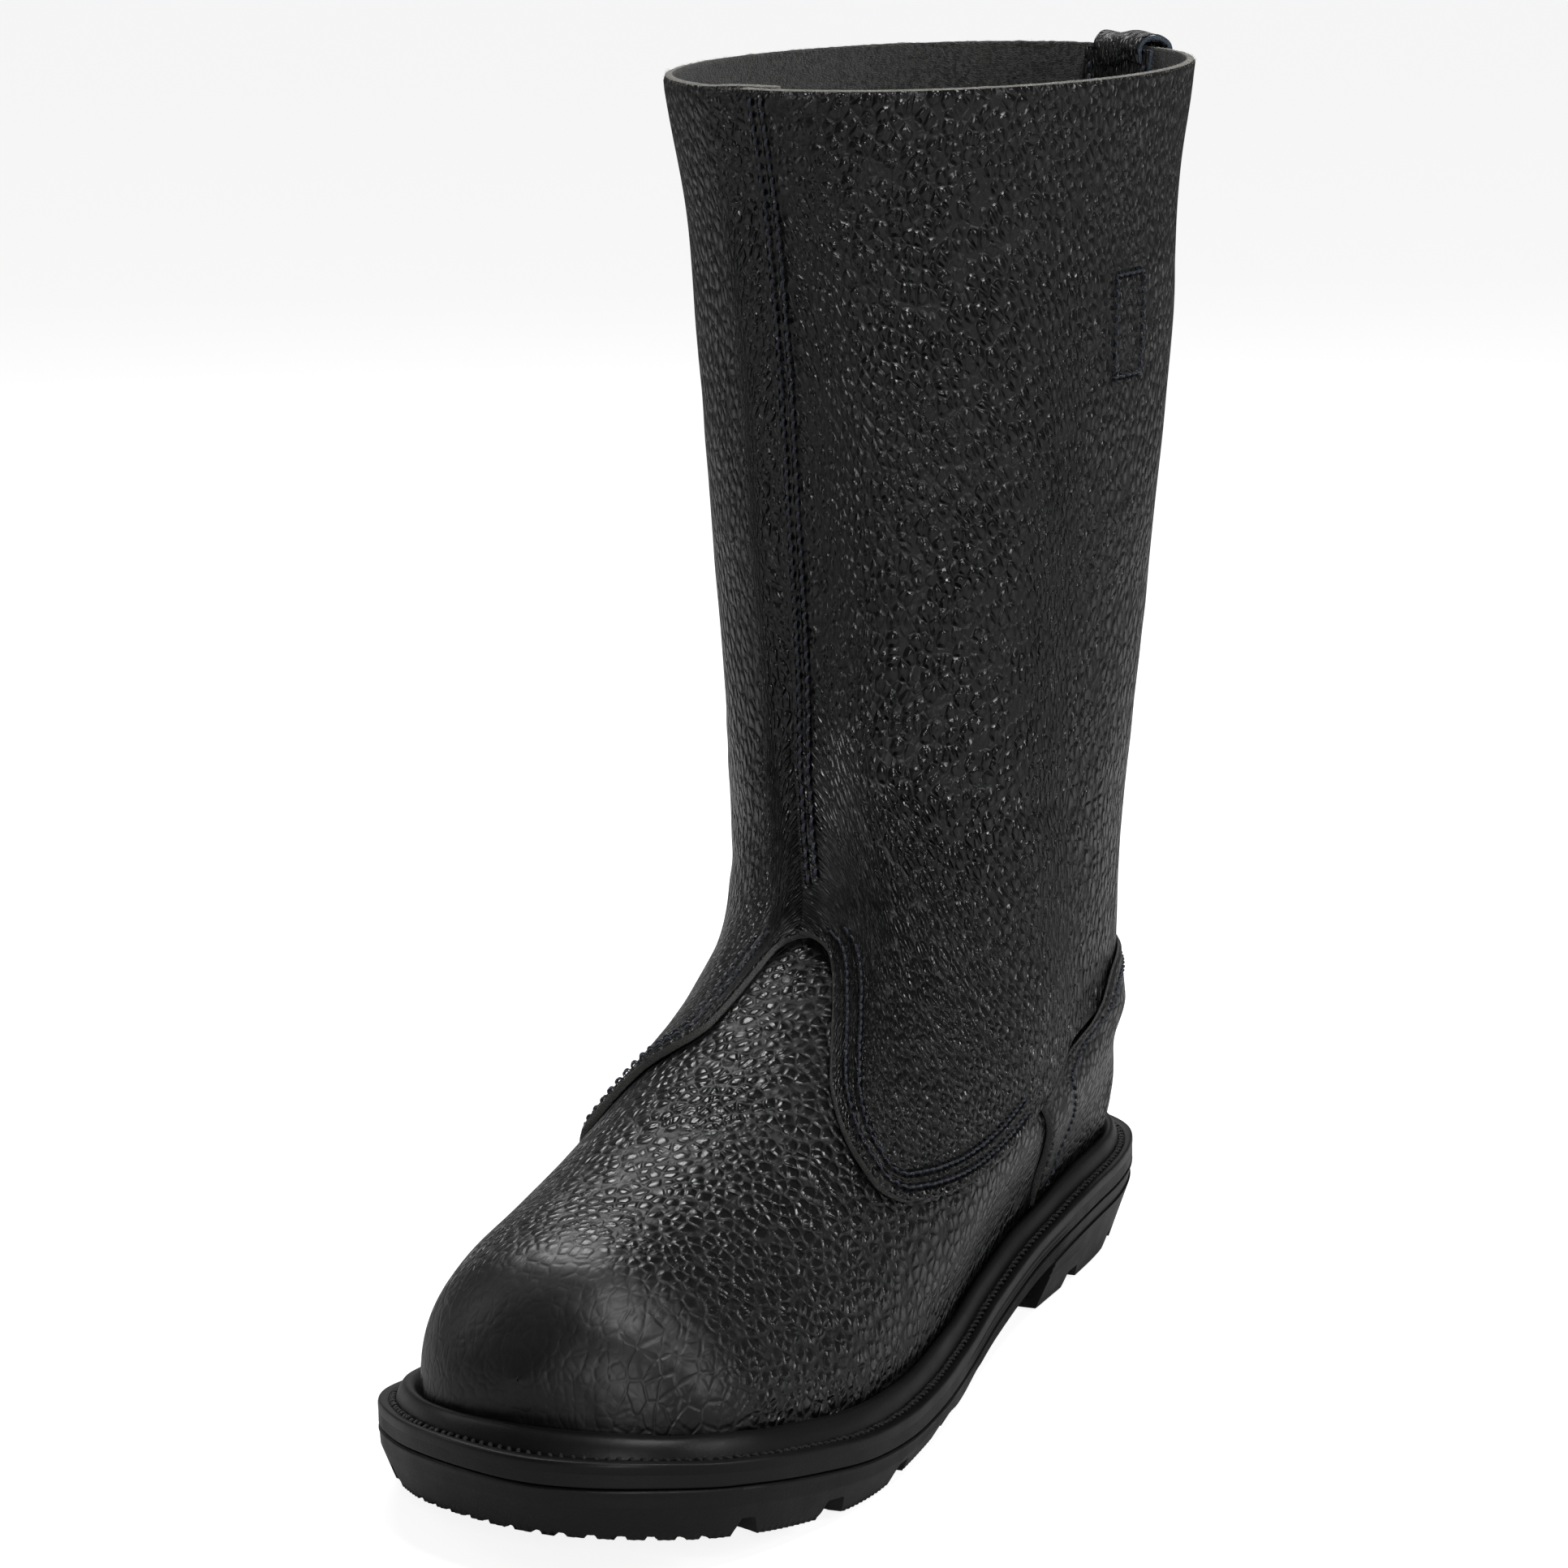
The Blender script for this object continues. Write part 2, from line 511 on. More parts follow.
M = {
    "shaft": leather("boot_leather_shaft", 3.1, 1.2, 0.75, 1.3, (13, 13, 14.5), (0.26, 0.46)),
    "vamp": leather("boot_leather_vamp", 3.0, 1.1, -0.3, 0.62, (11, 11, 12.5), (0.25, 0.5), solid=True),
    "heel": leather("boot_leather_heel", 2.6, 1.1, 1.2, 0.6, (16, 16, 18), (0.30, 0.55), solid=True),
    "strap": leather("boot_strap_leather", 1.8, 1.9, 0.1, 1.2, (11, 11, 13), (0.26, 0.42)),
    "suede": simple("boot_suede_inside", (50, 50, 49), 0.95, (0.9, 0.5), 0.2, sheen=0.25, mottled=0.4, extra="fibres"),
    "edge": simple("boot_raw_edge_light", (118, 116, 110), 0.95, (3.0, 0.5), 0.15, sheen=0.3, mottled=0.3, extra="rim"),
    "edge_dark": simple("boot_raw_edge_dark", (62, 62, 61), 0.9, (3.0, 0.4), 0.2, sheen=0.15, mottled=0.3, extra="fibres"),
    "edge_strap": simple("boot_strap_cut_edge", (66, 74, 84), 0.85, (3.0, 0.3), 0.2, mottled=0.3),
    "rubber": simple("boot_rubber_satin", (8, 8, 9), 0.42, (1.0, 0.05), 0.3, mottled=0.2, rr=0.12),
    "rubber_wall": simple("boot_rubber_wall", (10, 10, 11), 0.5, (1.6, 0.09), 0.35, mottled=0.22, rr=0.14),
    "rubber_tread": simple("boot_rubber_tread", (24, 24, 24), 0.62, (1.6, 0.12), 0.45, mottled=0.25, rr=0.14),
    "thread": simple("boot_thread_blueblack", (24, 30, 44), 0.32, (5.0, 0.25), 0.6, mottled=0.4, sheen=0.1),
    "welt_thread": simple("boot_thread_welt", (17, 17, 19), 0.5, (5.0, 0.3), 0.5, mottled=0.4),
    "tape": simple("boot_woven_tape", (30, 31, 34), 0.85, (2.5, 0.3), 0.3, mottled=0.3, sheen=0.1),
    "lining": simple("boot_lining_fleece", (92, 92, 88), 0.95, (1.8, 0.4), 0.2, mottled=0.22, sheen=0.3, extra="fibres"),
    "foam": simple("boot_insole_cloth", (66, 68, 72), 0.92, (2.4, 0.3), 0.2, mottled=0.2, sheen=0.2, extra="fibres"),
    "board": simple("boot_fibre_board", (132, 104, 76), 0.85, (1.6, 0.15), 0.3, mottled=0.18),
    "cork": simple("boot_cork", (150, 116, 74), 0.92, (0.9, 0.6), 0.2, mottled=0.35, extra="fibres"),
    "felt": simple("boot_felt", (48, 50, 54), 0.95, (2.6, 0.5), 0.2, mottled=0.25, sheen=0.3, extra="fibres"),
    "steel": simple("boot_steel", (150, 152, 155), 0.32, (0.8, 0.02), 0.5, metal=1.0, mottled=0.08),
}


# ------------------------------------------------------------------ mesh helpers
def build(name, V, F, mats, fm=None, attrs=None, smooth_shade=True, flip_check=True, sharp=None):
    """Closed mesh from millimetre points and a list of face index arrays."""
    V = np.asarray(V, float)
    faces, idx = [], []
    for k, f in enumerate(F):
        f = np.asarray(f, int)
        faces.append(f)
        idx.append(np.full(len(f), 0 if fm is None else fm[k]))
    if flip_check:
        vol = 0.0
        for f in faces:
            for c in range(1, f.shape[1] - 1):
                a, b, d = V[f[:, 0]], V[f[:, c]], V[f[:, c + 1]]
                vol += (a * np.cross(b, d)).sum()
        if vol < 0:
            faces = [f[:, ::-1] for f in faces]
    me = bpy.data.meshes.new(name)
    allf = [tuple(r) for f in faces for r in f.tolist()]
    used = np.zeros(len(V), bool)
    for f in faces:
        used[f.ravel()] = True
    if not used.all():
        remap = np.cumsum(used) - 1
        allf = [tuple(int(remap[i]) for i in r) for r in allf]
        V = V[used]
        if attrs:
            attrs = {k: a[used] for k, a in attrs.items()}
    me.from_pydata((V / 1000.0).tolist(), [], allf)
    for m in mats:
        me.materials.append(M[m])
    me.polygons.foreach_set("material_index", np.concatenate(idx).astype(np.int32))
    me.polygons.foreach_set("use_smooth", np.full(len(allf), bool(smooth_shade)))
    for k, a in (attrs or {}).items():
        if a.ndim == 2:
            at = me.attributes.new(k, "FLOAT_VECTOR", "POINT")
            at.data.foreach_set("vector", a.astype(np.float32).ravel())
        else:
            at = me.attributes.new(k, "FLOAT", "POINT")
            at.data.foreach_set("value", a.astype(np.float32))
    me.update()
    if sharp is not None and smooth_shade:
        me.set_sharp_from_angle(angle=math.radians(sharp))
    ob = bpy.data.objects.new(name, me)
    bpy.context.scene.collection.objects.link(ob)
    return ob


def done(ob, body, slot, *nodes):
    if body:
        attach(ob, body)
    if nodes:
        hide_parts(*nodes)
    return ob


def grid_len(O, axis):
    d = np.linalg.norm(np.diff(O, axis=axis), axis=2)
    z = np.zeros((1, O.shape[1]) if axis == 0 else (O.shape[0], 1))
    return np.concatenate([z, np.cumsum(d, axis=axis)], axis=axis)


def stitch_tree(paths):
    P = np.concatenate(paths) if len(paths) else np.zeros((0, 3))
    t = KDTree(len(P))
    for i, p in enumerate(P):
        t.insert(Vector(p), i)
    t.balance()
    return t


def dist_to(tree, V):
    return np.array([tree.find(v)[2] for v in V.tolist()])


def shell(name, S, PH, dO, dI, mats, fold=False, rounds=(1, 1, 1, 1), er=0.5, paths=None, masks=None, jitter=0.1, relief=None, gseed=0.0, walls=2, bulge=0.12):
    """Closed layer between two offsets of the upper over a (v, u) grid. rounds: left, right, top, bottom edges rounded."""
    nv, nu = S.shape[0] - 1, S.shape[1] - 1
    dO = np.asarray(dO, float) + 0 * S
    dI = np.asarray(dI, float) + 0 * S
    B = surf(S, PH)
    Nn = normal(S, PH)
    O = B + Nn * dO[..., None]
    a, b = grid_len(O, 1), grid_len(O, 0)
    dist = np.full(S.shape, 99.0)
    if rounds[0]:
        dist = np.minimum(dist, a)
    if rounds[1]:
        dist = np.minimum(dist, a[:, -1:] - a)
    if rounds[2]:
        dist = np.minimum(dist, b)
    if rounds[3]:
        dist = np.minimum(dist, b[-1:, :] - b)
    q = np.clip(1 - dist / er, 0, 1)
    dO = dO - er * (1 - np.sqrt(1 - q * q)) * 0.8
    st = np.full(S.shape, 9.0)
    if paths:
        st = np.minimum(dist_to(stitch_tree(paths), O.reshape(-1, 3)).reshape(S.shape), 9.0)
        dO = dO - 0.22 * np.exp(-(st / 0.9) ** 2)
    if relief is not None:
        dO = dO + relief(O) * np.clip(dist / 3.0, 0, 1)
    O = B + Nn * dO[..., None]
    I = B + Nn * dI[..., None]
    amp, wrk, rgh = (masks(O) if masks else (np.ones(S.shape), np.zeros(S.shape), np.zeros(S.shape)))
    mid = nu // 2
    grv = np.stack([a - a[:, mid:mid + 1] + 400 + gseed, b + 100, np.full(S.shape, gseed)], -1)
    n = S.size
    io = np.arange(n).reshape(S.shape)
    ii = io + n
    V = np.concatenate([O.reshape(-1, 3), I.reshape(-1, 3)])
    if fold:
        for ix in (io, ii):
            for i in range(nu // 2):
                p, r = ix[nv, i], ix[nv, nu - i]
                V[p] = (V[p] + V[r]) / 2
                ix[nv, nu - i] = p

    def quads(ix):
        return np.stack([ix[:-1, :-1], ix[:-1, 1:], ix[1:, 1:], ix[1:, :-1]], -1).reshape(-1, 4)
    F = [quads(io), quads(ii)[:, ::-1]]
    fm = [0, 1]
    # border loop, in order, with wall rows in between
    if fold:
        lo = np.concatenate([io[0, :], io[1:nv + 1, nu], io[nv - 1:0:-1, 0]])
        li = np.concatenate([ii[0, :], ii[1:nv + 1, nu], ii[nv - 1:0:-1, 0]])
        closed = True
    else:
        lo = np.concatenate([io[0, :], io[1:, nu], io[nv, nu - 1::-1], io[nv - 1:0:-1, 0]])
        li = np.concatenate([ii[0, :], ii[1:, nu], ii[nv, nu - 1::-1], ii[nv - 1:0:-1, 0]])
        closed = True
    nb = len(lo)
    rows = [lo]
    base = len(V)
    extra = []
    ctr_dir = V[lo] - V.mean(0)
    for w in range(1, walls + 1):
        t = w / (walls + 1)
        P = V[lo] * (1 - t) + V[li] * t
        tang = np.roll(V[lo], -1, 0) - np.roll(V[lo], 1, 0)
        thick = V[lo] - V[li]
        outw = np.cross(tang, thick)
        outw /= np.linalg.norm(outw, axis=1, keepdims=True) + 1e-9
        extra.append((P, outw, t))
    # orientation of the outward direction: away from the neighbouring inner grid point
    inner_o = np.concatenate([io[1, :], io[1:, nu - 1], io[nv - 1, nu - 1::-1] if not fold else np.zeros(0, int), io[nv - 1:0:-1, 1]])[:nb] if not fold else np.concatenate([io[1, :], io[1:nv + 1, nu - 1], io[nv - 1:0:-1, 1]])
    sgn = np.sign((extra[0][1] * (V[lo] - V[inner_o])).sum(1))
    sg = 1.0 if sgn.sum() >= 0 else -1.0
    for P, outw, t in extra:
        jit = (noise3(P, 0.9, 5) - 0.5) * 2 * jitter + (noise3(P, 3.0, 9) - 0.5) * jitter
        P2 = P + outw * (sg * (bulge * math.sin(math.pi * t) + jit))[:, None]
        rows.append(np.arange(len(V), len(V) + nb))
        V = np.concatenate([V, P2])
    rows.append(li)
    for k in range(len(rows) - 1):
        r0, r1 = rows[k], rows[k + 1]
        F.append(np.stack([r0, r1, np.roll(r1, -1), np.roll(r0, -1)], -1))
        fm.append(2)
    nx = len(V) - 2 * n

    def ext(A, fill):
        A = A.reshape(n, -1)
        return np.concatenate([A, A, np.full((nx, A.shape[1]), fill)]).squeeze()
    at = {"GR": ext(grv, 0.0), "AMP": ext(amp, 0.0), "WRK": ext(wrk, 0.0), "ST": ext(st, 9.0), "RGH": ext(rgh, 0.0)}
    vol = 0.0
    ob = build(name, V, F, mats, fm, at)
    return ob, O


def stitches(name, P, N, pitch=3.0, length=2.35, r=0.42, lift=0.33, sink=0.55, slant=0.0, mat="thread", seed=1, sides=7, rings=7, closed=False, jitter=0.08):
    """Row of separate thread loops along a path P with surface normals N."""
    P, N = np.asarray(P, float), np.asarray(N, float)
    L = np.concatenate([[0], np.cumsum(np.linalg.norm(np.diff(P, axis=0), axis=1))])
    n = max(1, int(L[-1] / pitch))
    pitch = L[-1] / n
    rg = np.random.default_rng(seed)
    V, F = [], []

    def at(t):
        t = np.clip(t, 0, L[-1])
        return np.stack([np.interp(t, L, P[:, k]) for k in range(3)], -1), np.stack([np.interp(t, L, N[:, k]) for k in range(3)], -1)
    ts = np.linspace(-1, 1, rings)
    ang = 2 * np.pi * (np.arange(sides) + 0.5) / sides
    for k in range(n):
        c = (k + 0.5) * pitch + rg.normal(0, jitter)
        ln = length / 2 * (1 + rg.normal(0, 0.04))
        p, nn = at(c + ts * ln)
        nn = nn / (np.linalg.norm(nn, axis=1, keepdims=True) + 1e-9)
        tg = np.gradient(p, axis=0)
        tg /= np.linalg.norm(tg, axis=1, keepdims=True) + 1e-9
        sd = np.cross(tg, nn)
        hgt = lift * (1 + rg.normal(0, 0.12)) - (sink + lift) * np.abs(ts) ** 3.2
        q = p + nn * hgt[:, None] + sd * (slant * ts + rg.normal(0, 0.05))[:, None]
        rad = r * np.sqrt(np.clip(1 - 0.72 * np.abs(ts) ** 4, 0.05, 1)) * (1 + rg.normal(0, 0.05))
        b0 = len(V) * 1
        ring = q[:, None, :] + (sd[:, None, :] * np.cos(ang)[None, :, None] + nn[:, None, :] * np.sin(ang)[None, :, None]) * rad[:, None, None]
        V.append(ring.reshape(-1, 3))
    V = np.concatenate(V)
    m = rings * sides
    o = (np.arange(n) * m)[:, None]
    quads = []
    for i in range(rings - 1):
        for j in range(sides):
            j2 = (j + 1) % sides
            quads.append([i * sides + j, i * sides + j2, (i + 1) * sides + j2, (i + 1) * sides + j])
    quads = (np.array(quads)[None] + o[:, :, None]).reshape(-1, 4)
    c0 = (np.arange(sides)[::-1][None] + o)
    c1 = (np.arange(sides)[None] + (rings - 1) * sides + o)
    return build(name, V, [quads, c0, c1], [mat], [0, 0, 0])


def path_on(S, PH, d):
    S, PH = np.asarray(S, float), np.asarray(PH, float)
    return off(S, PH, d), normal(S, PH)


# ------------------------------------------------------------------ seam rows
def edge_path(tb, side, mm, a0, a1, n=260):
    A = np.linspace(a0, a1, 601)
    s, p = soft(tb, A), side * np.radians(A)
    W = surf(s, p)
    L = np.concatenate([[0], np.cumsum(np.linalg.norm(np.diff(W, axis=0), axis=1))])
    t = np.linspace(0, L[-1], n)
    s, p = np.interp(t, L, s), np.interp(t, L, p)
    e = 1e-3
    Sx = surf(s, p)
    ds, dp = (surf(s + e, p) - Sx) / e, (surf(s, p + e) - Sx) / e
    tan = np.gradient(Sx, axis=0)
    tan /= np.linalg.norm(tan, axis=1, keepdims=True)
    d = np.cross(tan, normal(s, p))
    d /= np.linalg.norm(d, axis=1, keepdims=True)
    d *= -np.sign((d * ds).sum(1))[:, None]
    A_, B_, C_ = (ds * ds).sum(1), (ds * dp).sum(1), (dp * dp).sum(1)
    r1, r2 = (d * ds).sum(1), (d * dp).sum(1)
    D = A_ * C_ - B_ * B_
    return s + mm * (r1 * C_ - r2 * B_) / D, p + mm * (A_ * r2 - B_ * r1) / D


front_rows = []
for k, mm in ((1, 3.2), (2, 6.6)):
    s = np.linspace(0.04, 7.62 - k * 0.12, 300)
    front_rows.append((s, seam(s) + mm / 66))
left_rows = [edge_path(LOW_L, 1, mm, 4 + k, 74.6) for k, mm in ((1, 3.0), (2, 6.2))]
right_rows = [edge_path(LOW_R, -1, mm, 7 + k, 74.6) for k, mm in ((1, 3.0), (2, 6.2))]
PC, HW = math.radians(82), 5.5 / 55
box_rows = {}
for side in (1, -1):
    c = [[1.46, -1], [1.46, 1], [2.1, 1], [2.1, -1], [1.46, -1]]
    s = np.concatenate([np.linspace(c[i][0], c[i + 1][0], 30) for i in range(4)])
    k = np.concatenate([np.linspace(c[i][1], c[i + 1][1], 30) for i in range(4)])
    box_rows[side] = (s, side * (PC + k * HW * 0.95))
hm = heel_map(0.85, 76, 9.82)
hv1 = np.concatenate([np.full(40, 0.027), np.linspace(0.05, 0.95, 220), np.full(40, 0.973)])
hv2 = np.concatenate([np.linspace(0.9, 0.1, 40), np.full(220, 0.072), np.linspace(0.1, 0.9, 40)])
heel_row = hm(hv1, hv2)
stay_rows = [(np.linspace(0.1, 5.55, 200), back_seam(np.linspace(0.1, 5.55, 200)) + x / 60) for x in (-11.4, 11.4)]
tape_rows = [(np.linspace(0.14, 2.28, 120), back_seam(np.linspace(0.14, 2.28, 120)) + x / 57) for x in (-10.6, 10.6)]


# ------------------------------------------------------------------ relief and grain masks by place
def relief_shaft(O):
    sh = O.shape[:-1]
    r = (noise3(O, 26, 3) - 0.5) * 1.1 + (noise3(O, 11, 4) - 0.5) * 0.35
    ank = smooth(1 - np.abs(O[..., 2] - 122) / 30) * smooth((-O[..., 1] + 0) / 60)
    r = r + ank * (noise3(O * np.array([1, 1, 2.4]), 13, 8) - 0.5) * 0.9
    back = smooth((O[..., 1] - 12) / 20) * smooth(1 - np.abs(O[..., 2] - 96) / 16)
    return r + back * 0.9


def masks_shaft(O):
    y, z = O[..., 1], O[..., 2]
    amp = 0.92 + 0.22 * noise3(O, 34, 12)
    amp = amp * lerp(0.72, 1.0, smooth((30 - y) / 40))
    wrk = 0.35 * smooth((noise3(O, 22, 13) - 0.5) / 0.2)
    rgh = 0.05 * (noise3(O, 18, 14) - 0.5) + 0.07 * smooth((y - 10) / 30) - 0.06 * smooth(1 - np.abs(z - 125) / 45) * smooth((-y + 10) / 40)
    return amp, wrk, rgh


def relief_vamp(O):
    y = O[..., 1]
    lat = smooth((O[..., 0] - 8) / 20)
    r = (noise3(O, 20, 21) - 0.5) * 0.5
    cr = smooth(1 - np.abs(y + 178) / 26) * lat
    r = r + cr * (noise3(O * np.array([1, 2.2, 1]), 7, 22) - 0.5) * 0.55
    return r


def masks_vamp(O):
    x, y, z = O[..., 0], O[..., 1], O[..., 2]
    tip = smooth((-y - 212) / 26)
    crown = smooth((z - 52) / 14) * smooth((-y - 176) / 30)
    amp = (0.62 + 0.5 * noise3(O, 26, 23)) * (1 - 0.86 * tip) * (1 - 0.35 * crown)
    lat = smooth((np.abs(x) - 12) / 14) * smooth((-y - 165) / 22) * (1 - smooth((-y - 236) / 14))
    wrk = 0.15 + 1.0 * lat * smooth((70 - z) / 16)
    rgh = -0.05 * tip + 0.06 * (noise3(O, 15, 24) - 0.5)
    return amp, wrk, rgh


def masks_heel(O):
    amp = 0.6 + 0.4 * noise3(O, 26, 33)
    return amp, 0 * amp + 0.1, 0 * amp + 0.03


# ------------------------------------------------------------------ shaft panels
def panel(name, side, tb, start, dfun, nu, nv, paths, gseed, node):
    def back(s):
        return (back_seam(s) if side > 0 else 2 * math.pi - back_seam(s)) - 0.35 / 60
    u = np.linspace(0, 1, nu + 1)

    def low_f(s):
        return soft(tb, np.degrees(lerp(start(s), back(s), u))) - s
    low = bisect(low_f, np.full(nu + 1, 6.0), np.full(nu + 1, 12.2))
    v = np.linspace(0, 1, nv + 1)[:, None]
    S = v * low[None, :]
    A = lerp(start(S), back(S), u[None, :])
    d = dfun(S, A)
    ob, O = shell(name, S, side * A, d, d - T, ["shaft", "suede", "edge"], paths=paths, masks=masks_shaft, relief=relief_shaft, gseed=gseed, er=0.6, jitter=0.2)
    return done(ob, "boot", "upper_leather", node)


K = 1.0
lp = [off(*r, 0.0) for r in front_rows + left_rows + [box_rows[1]]]
panel("visual_left_shaft_panel", 1, LOW_L, seam, lambda s, a: 0 * s, int(230 * K), int(300 * K), lp, 0.0, "left_shaft_panel")
rp = [off(*r, 0.0) for r in right_rows + [box_rows[-1]]]


def d_right(s, a):
    g = (a + seam(s)) * 70
    return -(T + GAP) * (1 - smooth((g - 1) / 16))


panel("visual_right_shaft_panel", -1, LOW_R, lambda s: -seam(s) - math.radians(8.5), d_right, int(220 * K), int(300 * K), rp, 900.0, "right_shaft_panel")

# ------------------------------------------------------------------ vamp
nu, nv = int(260 * K) // 2 * 2, int(230 * K)
k = np.linspace(-1, 1, nu + 1)[None, :]
s0 = lin([[0, 7.75], [10, 7.8], [35, 8.9], [60, 9.3], [80, 9.05], [180, 9.05]], np.abs(k) * 125)
v = np.linspace(0, 1, nv + 1)[:, None]
S = lerp(s0, TIP, v)
fe = feather(np.clip(S, 8.9, TIP - 0.002).ravel(), 0.5).reshape(S.shape)
dv = d_vamp(S)
ob, O = shell("visual_vamp", np.minimum(S, TIP), k * fe, dv, dv - T, ["vamp", "suede", "edge_dark"], fold=True, rounds=(0, 0, 1, 0), masks=masks_vamp, relief=relief_vamp, gseed=1800.0)
done(ob, "boot", "upper_leather", "vamp")

# ------------------------------------------------------------------ heel cover, back stay, inner tape
nu, nv = int(240 * K) // 2 * 2, int(60 * K)
u, v = np.linspace(0, 1, nu + 1)[None, :], np.linspace(0, 1, nv + 1)[:, None]
S, P = hm(u + 0 * v, v + 0 * u)
d = d_heel(S, P)


def heel_skive(u, v):
    e = 1 - np.abs(2 * u - 1)
    k = 1.05 * (1 - smooth(v / 0.22)) * smooth(e / 0.12) + 0.55 * smooth((v - 0.7) / 0.22)
    return k + 0.7 * smooth((e - 0.35) / 0.3) * (1 - smooth(v / 0.6))


skive = heel_skive(u, v)
heel_row_d = d_heel(*heel_row) - heel_skive(hv1, hv2)
hp = [path_on(*heel_row, heel_row_d)[0]]
ob, O = shell("visual_heel_cover", S, P, d - skive, d - T, ["heel", "suede", "edge_dark"], rounds=(1, 1, 1, 0), masks=masks_heel, paths=hp, gseed=2700.0, er=0.7)
done(ob, "boot", "upper_leather", "heel_cover")
u, v = np.linspace(0, 1, 31)[None, :], np.linspace(0, 1, int(200 * K) + 1)[:, None]
S = lerp(0.04, 6.1, v) + 0 * u
P = back_seam(S) + (2 * u - 1) * 13.5 / 60
ob, O = shell("visual_back_stay", S, P, 2.2 - 1.0 * smooth((S - 5.6) / 0.5), 0.4 + 0 * S, ["shaft", "suede", "edge_dark"], masks=masks_heel, paths=[off(*r, 2.2) for r in stay_rows], gseed=3300.0)
done(ob, "boot", "upper_leather", "back_stay")
S = lerp(0.03, 2.35, v) + 0 * u
P = back_seam(S) + (2 * u - 1) * 12.6 / 57
ob, O = shell("visual_back_seam_tape", S, P, -T - 0.75, -T - 0.75 - 1.4, ["edge_strap", "strap", "edge_strap"], masks=masks_heel, gseed=3600.0)
done(ob, "boot", "strap_leather", "back_seam_tape")

# ------------------------------------------------------------------ seam stitches
def row(name, sp, d, node=None, seed=1, body="boot", flip=False, **kw):
    P, N = path_on(sp[0], sp[1], d)
    if flip:
        N = -N
    ob = stitches(name, P, N, seed=seed, **kw)
    return done(ob, body, "thread", *([node] if node else []))


for k in (0, 1):
    row(f"front_seam_stitches_{k + 1}", front_rows[k], 0.0, f"front_seam_thread_{k + 1}", 11 + k, pitch=3.0, slant=0.28)
    row(f"left_quarter_stitches_{k + 1}", left_rows[k], 0.0, f"left_quarter_thread_{k + 1}", 21 + k, pitch=2.7, length=2.1, r=0.33)
    row(f"right_quarter_stitches_{k + 1}", right_rows[k], 0.0, f"right_quarter_thread_{k + 1}", 31 + k, pitch=2.7, length=2.1, r=0.33)
    row(f"back_stay_stitches_{k + 1}", stay_rows[k], 2.2, None, 41 + k, pitch=3.0)
    row(f"seam_tape_stitches_{k + 1}", tape_rows[k], -T - 0.75 - 1.4, f"seam_tape_thread_{k + 1}", 51 + k, flip=True, pitch=3.0)
row("heel_cover_stitches", heel_row, heel_row_d, "heel_cover_thread", 61, pitch=2.8, length=2.1, r=0.36)
row("left_loop_stitches", box_rows[1], 0.0, "left_loop_thread", 71, pitch=2.9, length=2.0, r=0.34)
row("right_loop_stitches", box_rows[-1], 0.0, "right_loop_thread", 72, pitch=2.9, length=2.0, r=0.34)

# ------------------------------------------------------------------ inside: linings
def toe_lining(name, s0, h, d_out, th, mats, slot, node, s_1=TIP, n=(121, 110)):
    k = np.linspace(-1, 1, n[0])[None, :]
    v = np.linspace(0, 1, n[1])[:, None]
    S = lerp(s0, s_1, v) + 0 * k
    fe = feather(np.clip(S[:, 0], 0, TIP - 0.002), h)[:, None]
    dd = d_out(S)
    ob, O = shell(name, S, k * fe, dd, dd - th, mats, fold=s_1 == TIP, rounds=(0, 0, 1, 0), er=0.4)
    return done(ob, "boot", slot, node)


toe_lining("visual_vamp_lining", 11.4, 2.8, lambda s: -5.9 - 2.3 * smooth((s - 11.5) / 1.1), 1.0, ["lining", "lining", "lining"], "lining", "vamp_lining")
toe_lining("visual_toe_cap", 13.3, 2.6, lambda s: 0 * s - 5.8, 1.7, ["steel", "steel", "steel"], "steel", "toe_cap")
toe_lining("visual_toe_cap_edge_pad", 12.72, 3.2, lambda s: 0 * s - 5.9, 1.4, ["felt", "felt", "felt"], "felt", "toe_cap_edge_pad", 13.22, (121, 6))
for nm, s_0, f, s_1, h, d0, th, mt, sl in (("heel_stiffener", 6.9, 138, 8.75, 1.6, -3.6, 1.5, "board", "fibre_board"), ("heel_lining", 6.4, 128, 8.95, 2.6, -6.8, 0.9, "lining", "lining")):
    mm = heel_map(h, f, s_1, [[f, s_0], [180, s_0 - 0.15]])
    u, v = np.linspace(0, 1, 121)[None, :], np.linspace(0, 1, 40)[:, None]
    S, P = mm(u + 0 * v, v + 0 * u)
    ob, O = shell("visual_" + nm, S, P, d0, d0 - th, [mt, mt, mt], er=0.3)
    done(ob, "boot", sl, nm)

# ------------------------------------------------------------------ sole outline at a chosen density
DENSE = catmull_loop(OUTLINE, 96)


def outline(N):
    toe = int(np.argmin(DENSE[:, 1]))
    out = []
    for a, b in ((0, toe), (toe, len(DENSE))):
        Q = np.concatenate([DENSE[a:b], DENSE[b % len(DENSE)][None]])
        L = np.concatenate([[0], np.cumsum(np.linalg.norm(np.diff(Q, axis=0), axis=1))])
        t = L[-1] * np.arange(N // 2) / (N // 2)
        out.append(np.stack([np.interp(t, L, Q[:, j]) for j in (0, 1)], -1))
    R = np.concatenate(out)
    w = 5
    ker = sum(np.roll(R, j, 0) for j in range(-w, w + 1)) / (2 * w + 1) if N > 300 else R
    t = np.roll(ker, -1, 0) - np.roll(ker, 1, 0)
    t /= np.linalg.norm(t, axis=1, keepdims=True)
    n = np.stack([t[:, 1], -t[:, 0]], -1)
    i = N // 4
    if R[i, 0] * n[i, 0] > 0:
        n = -n
    return R, n


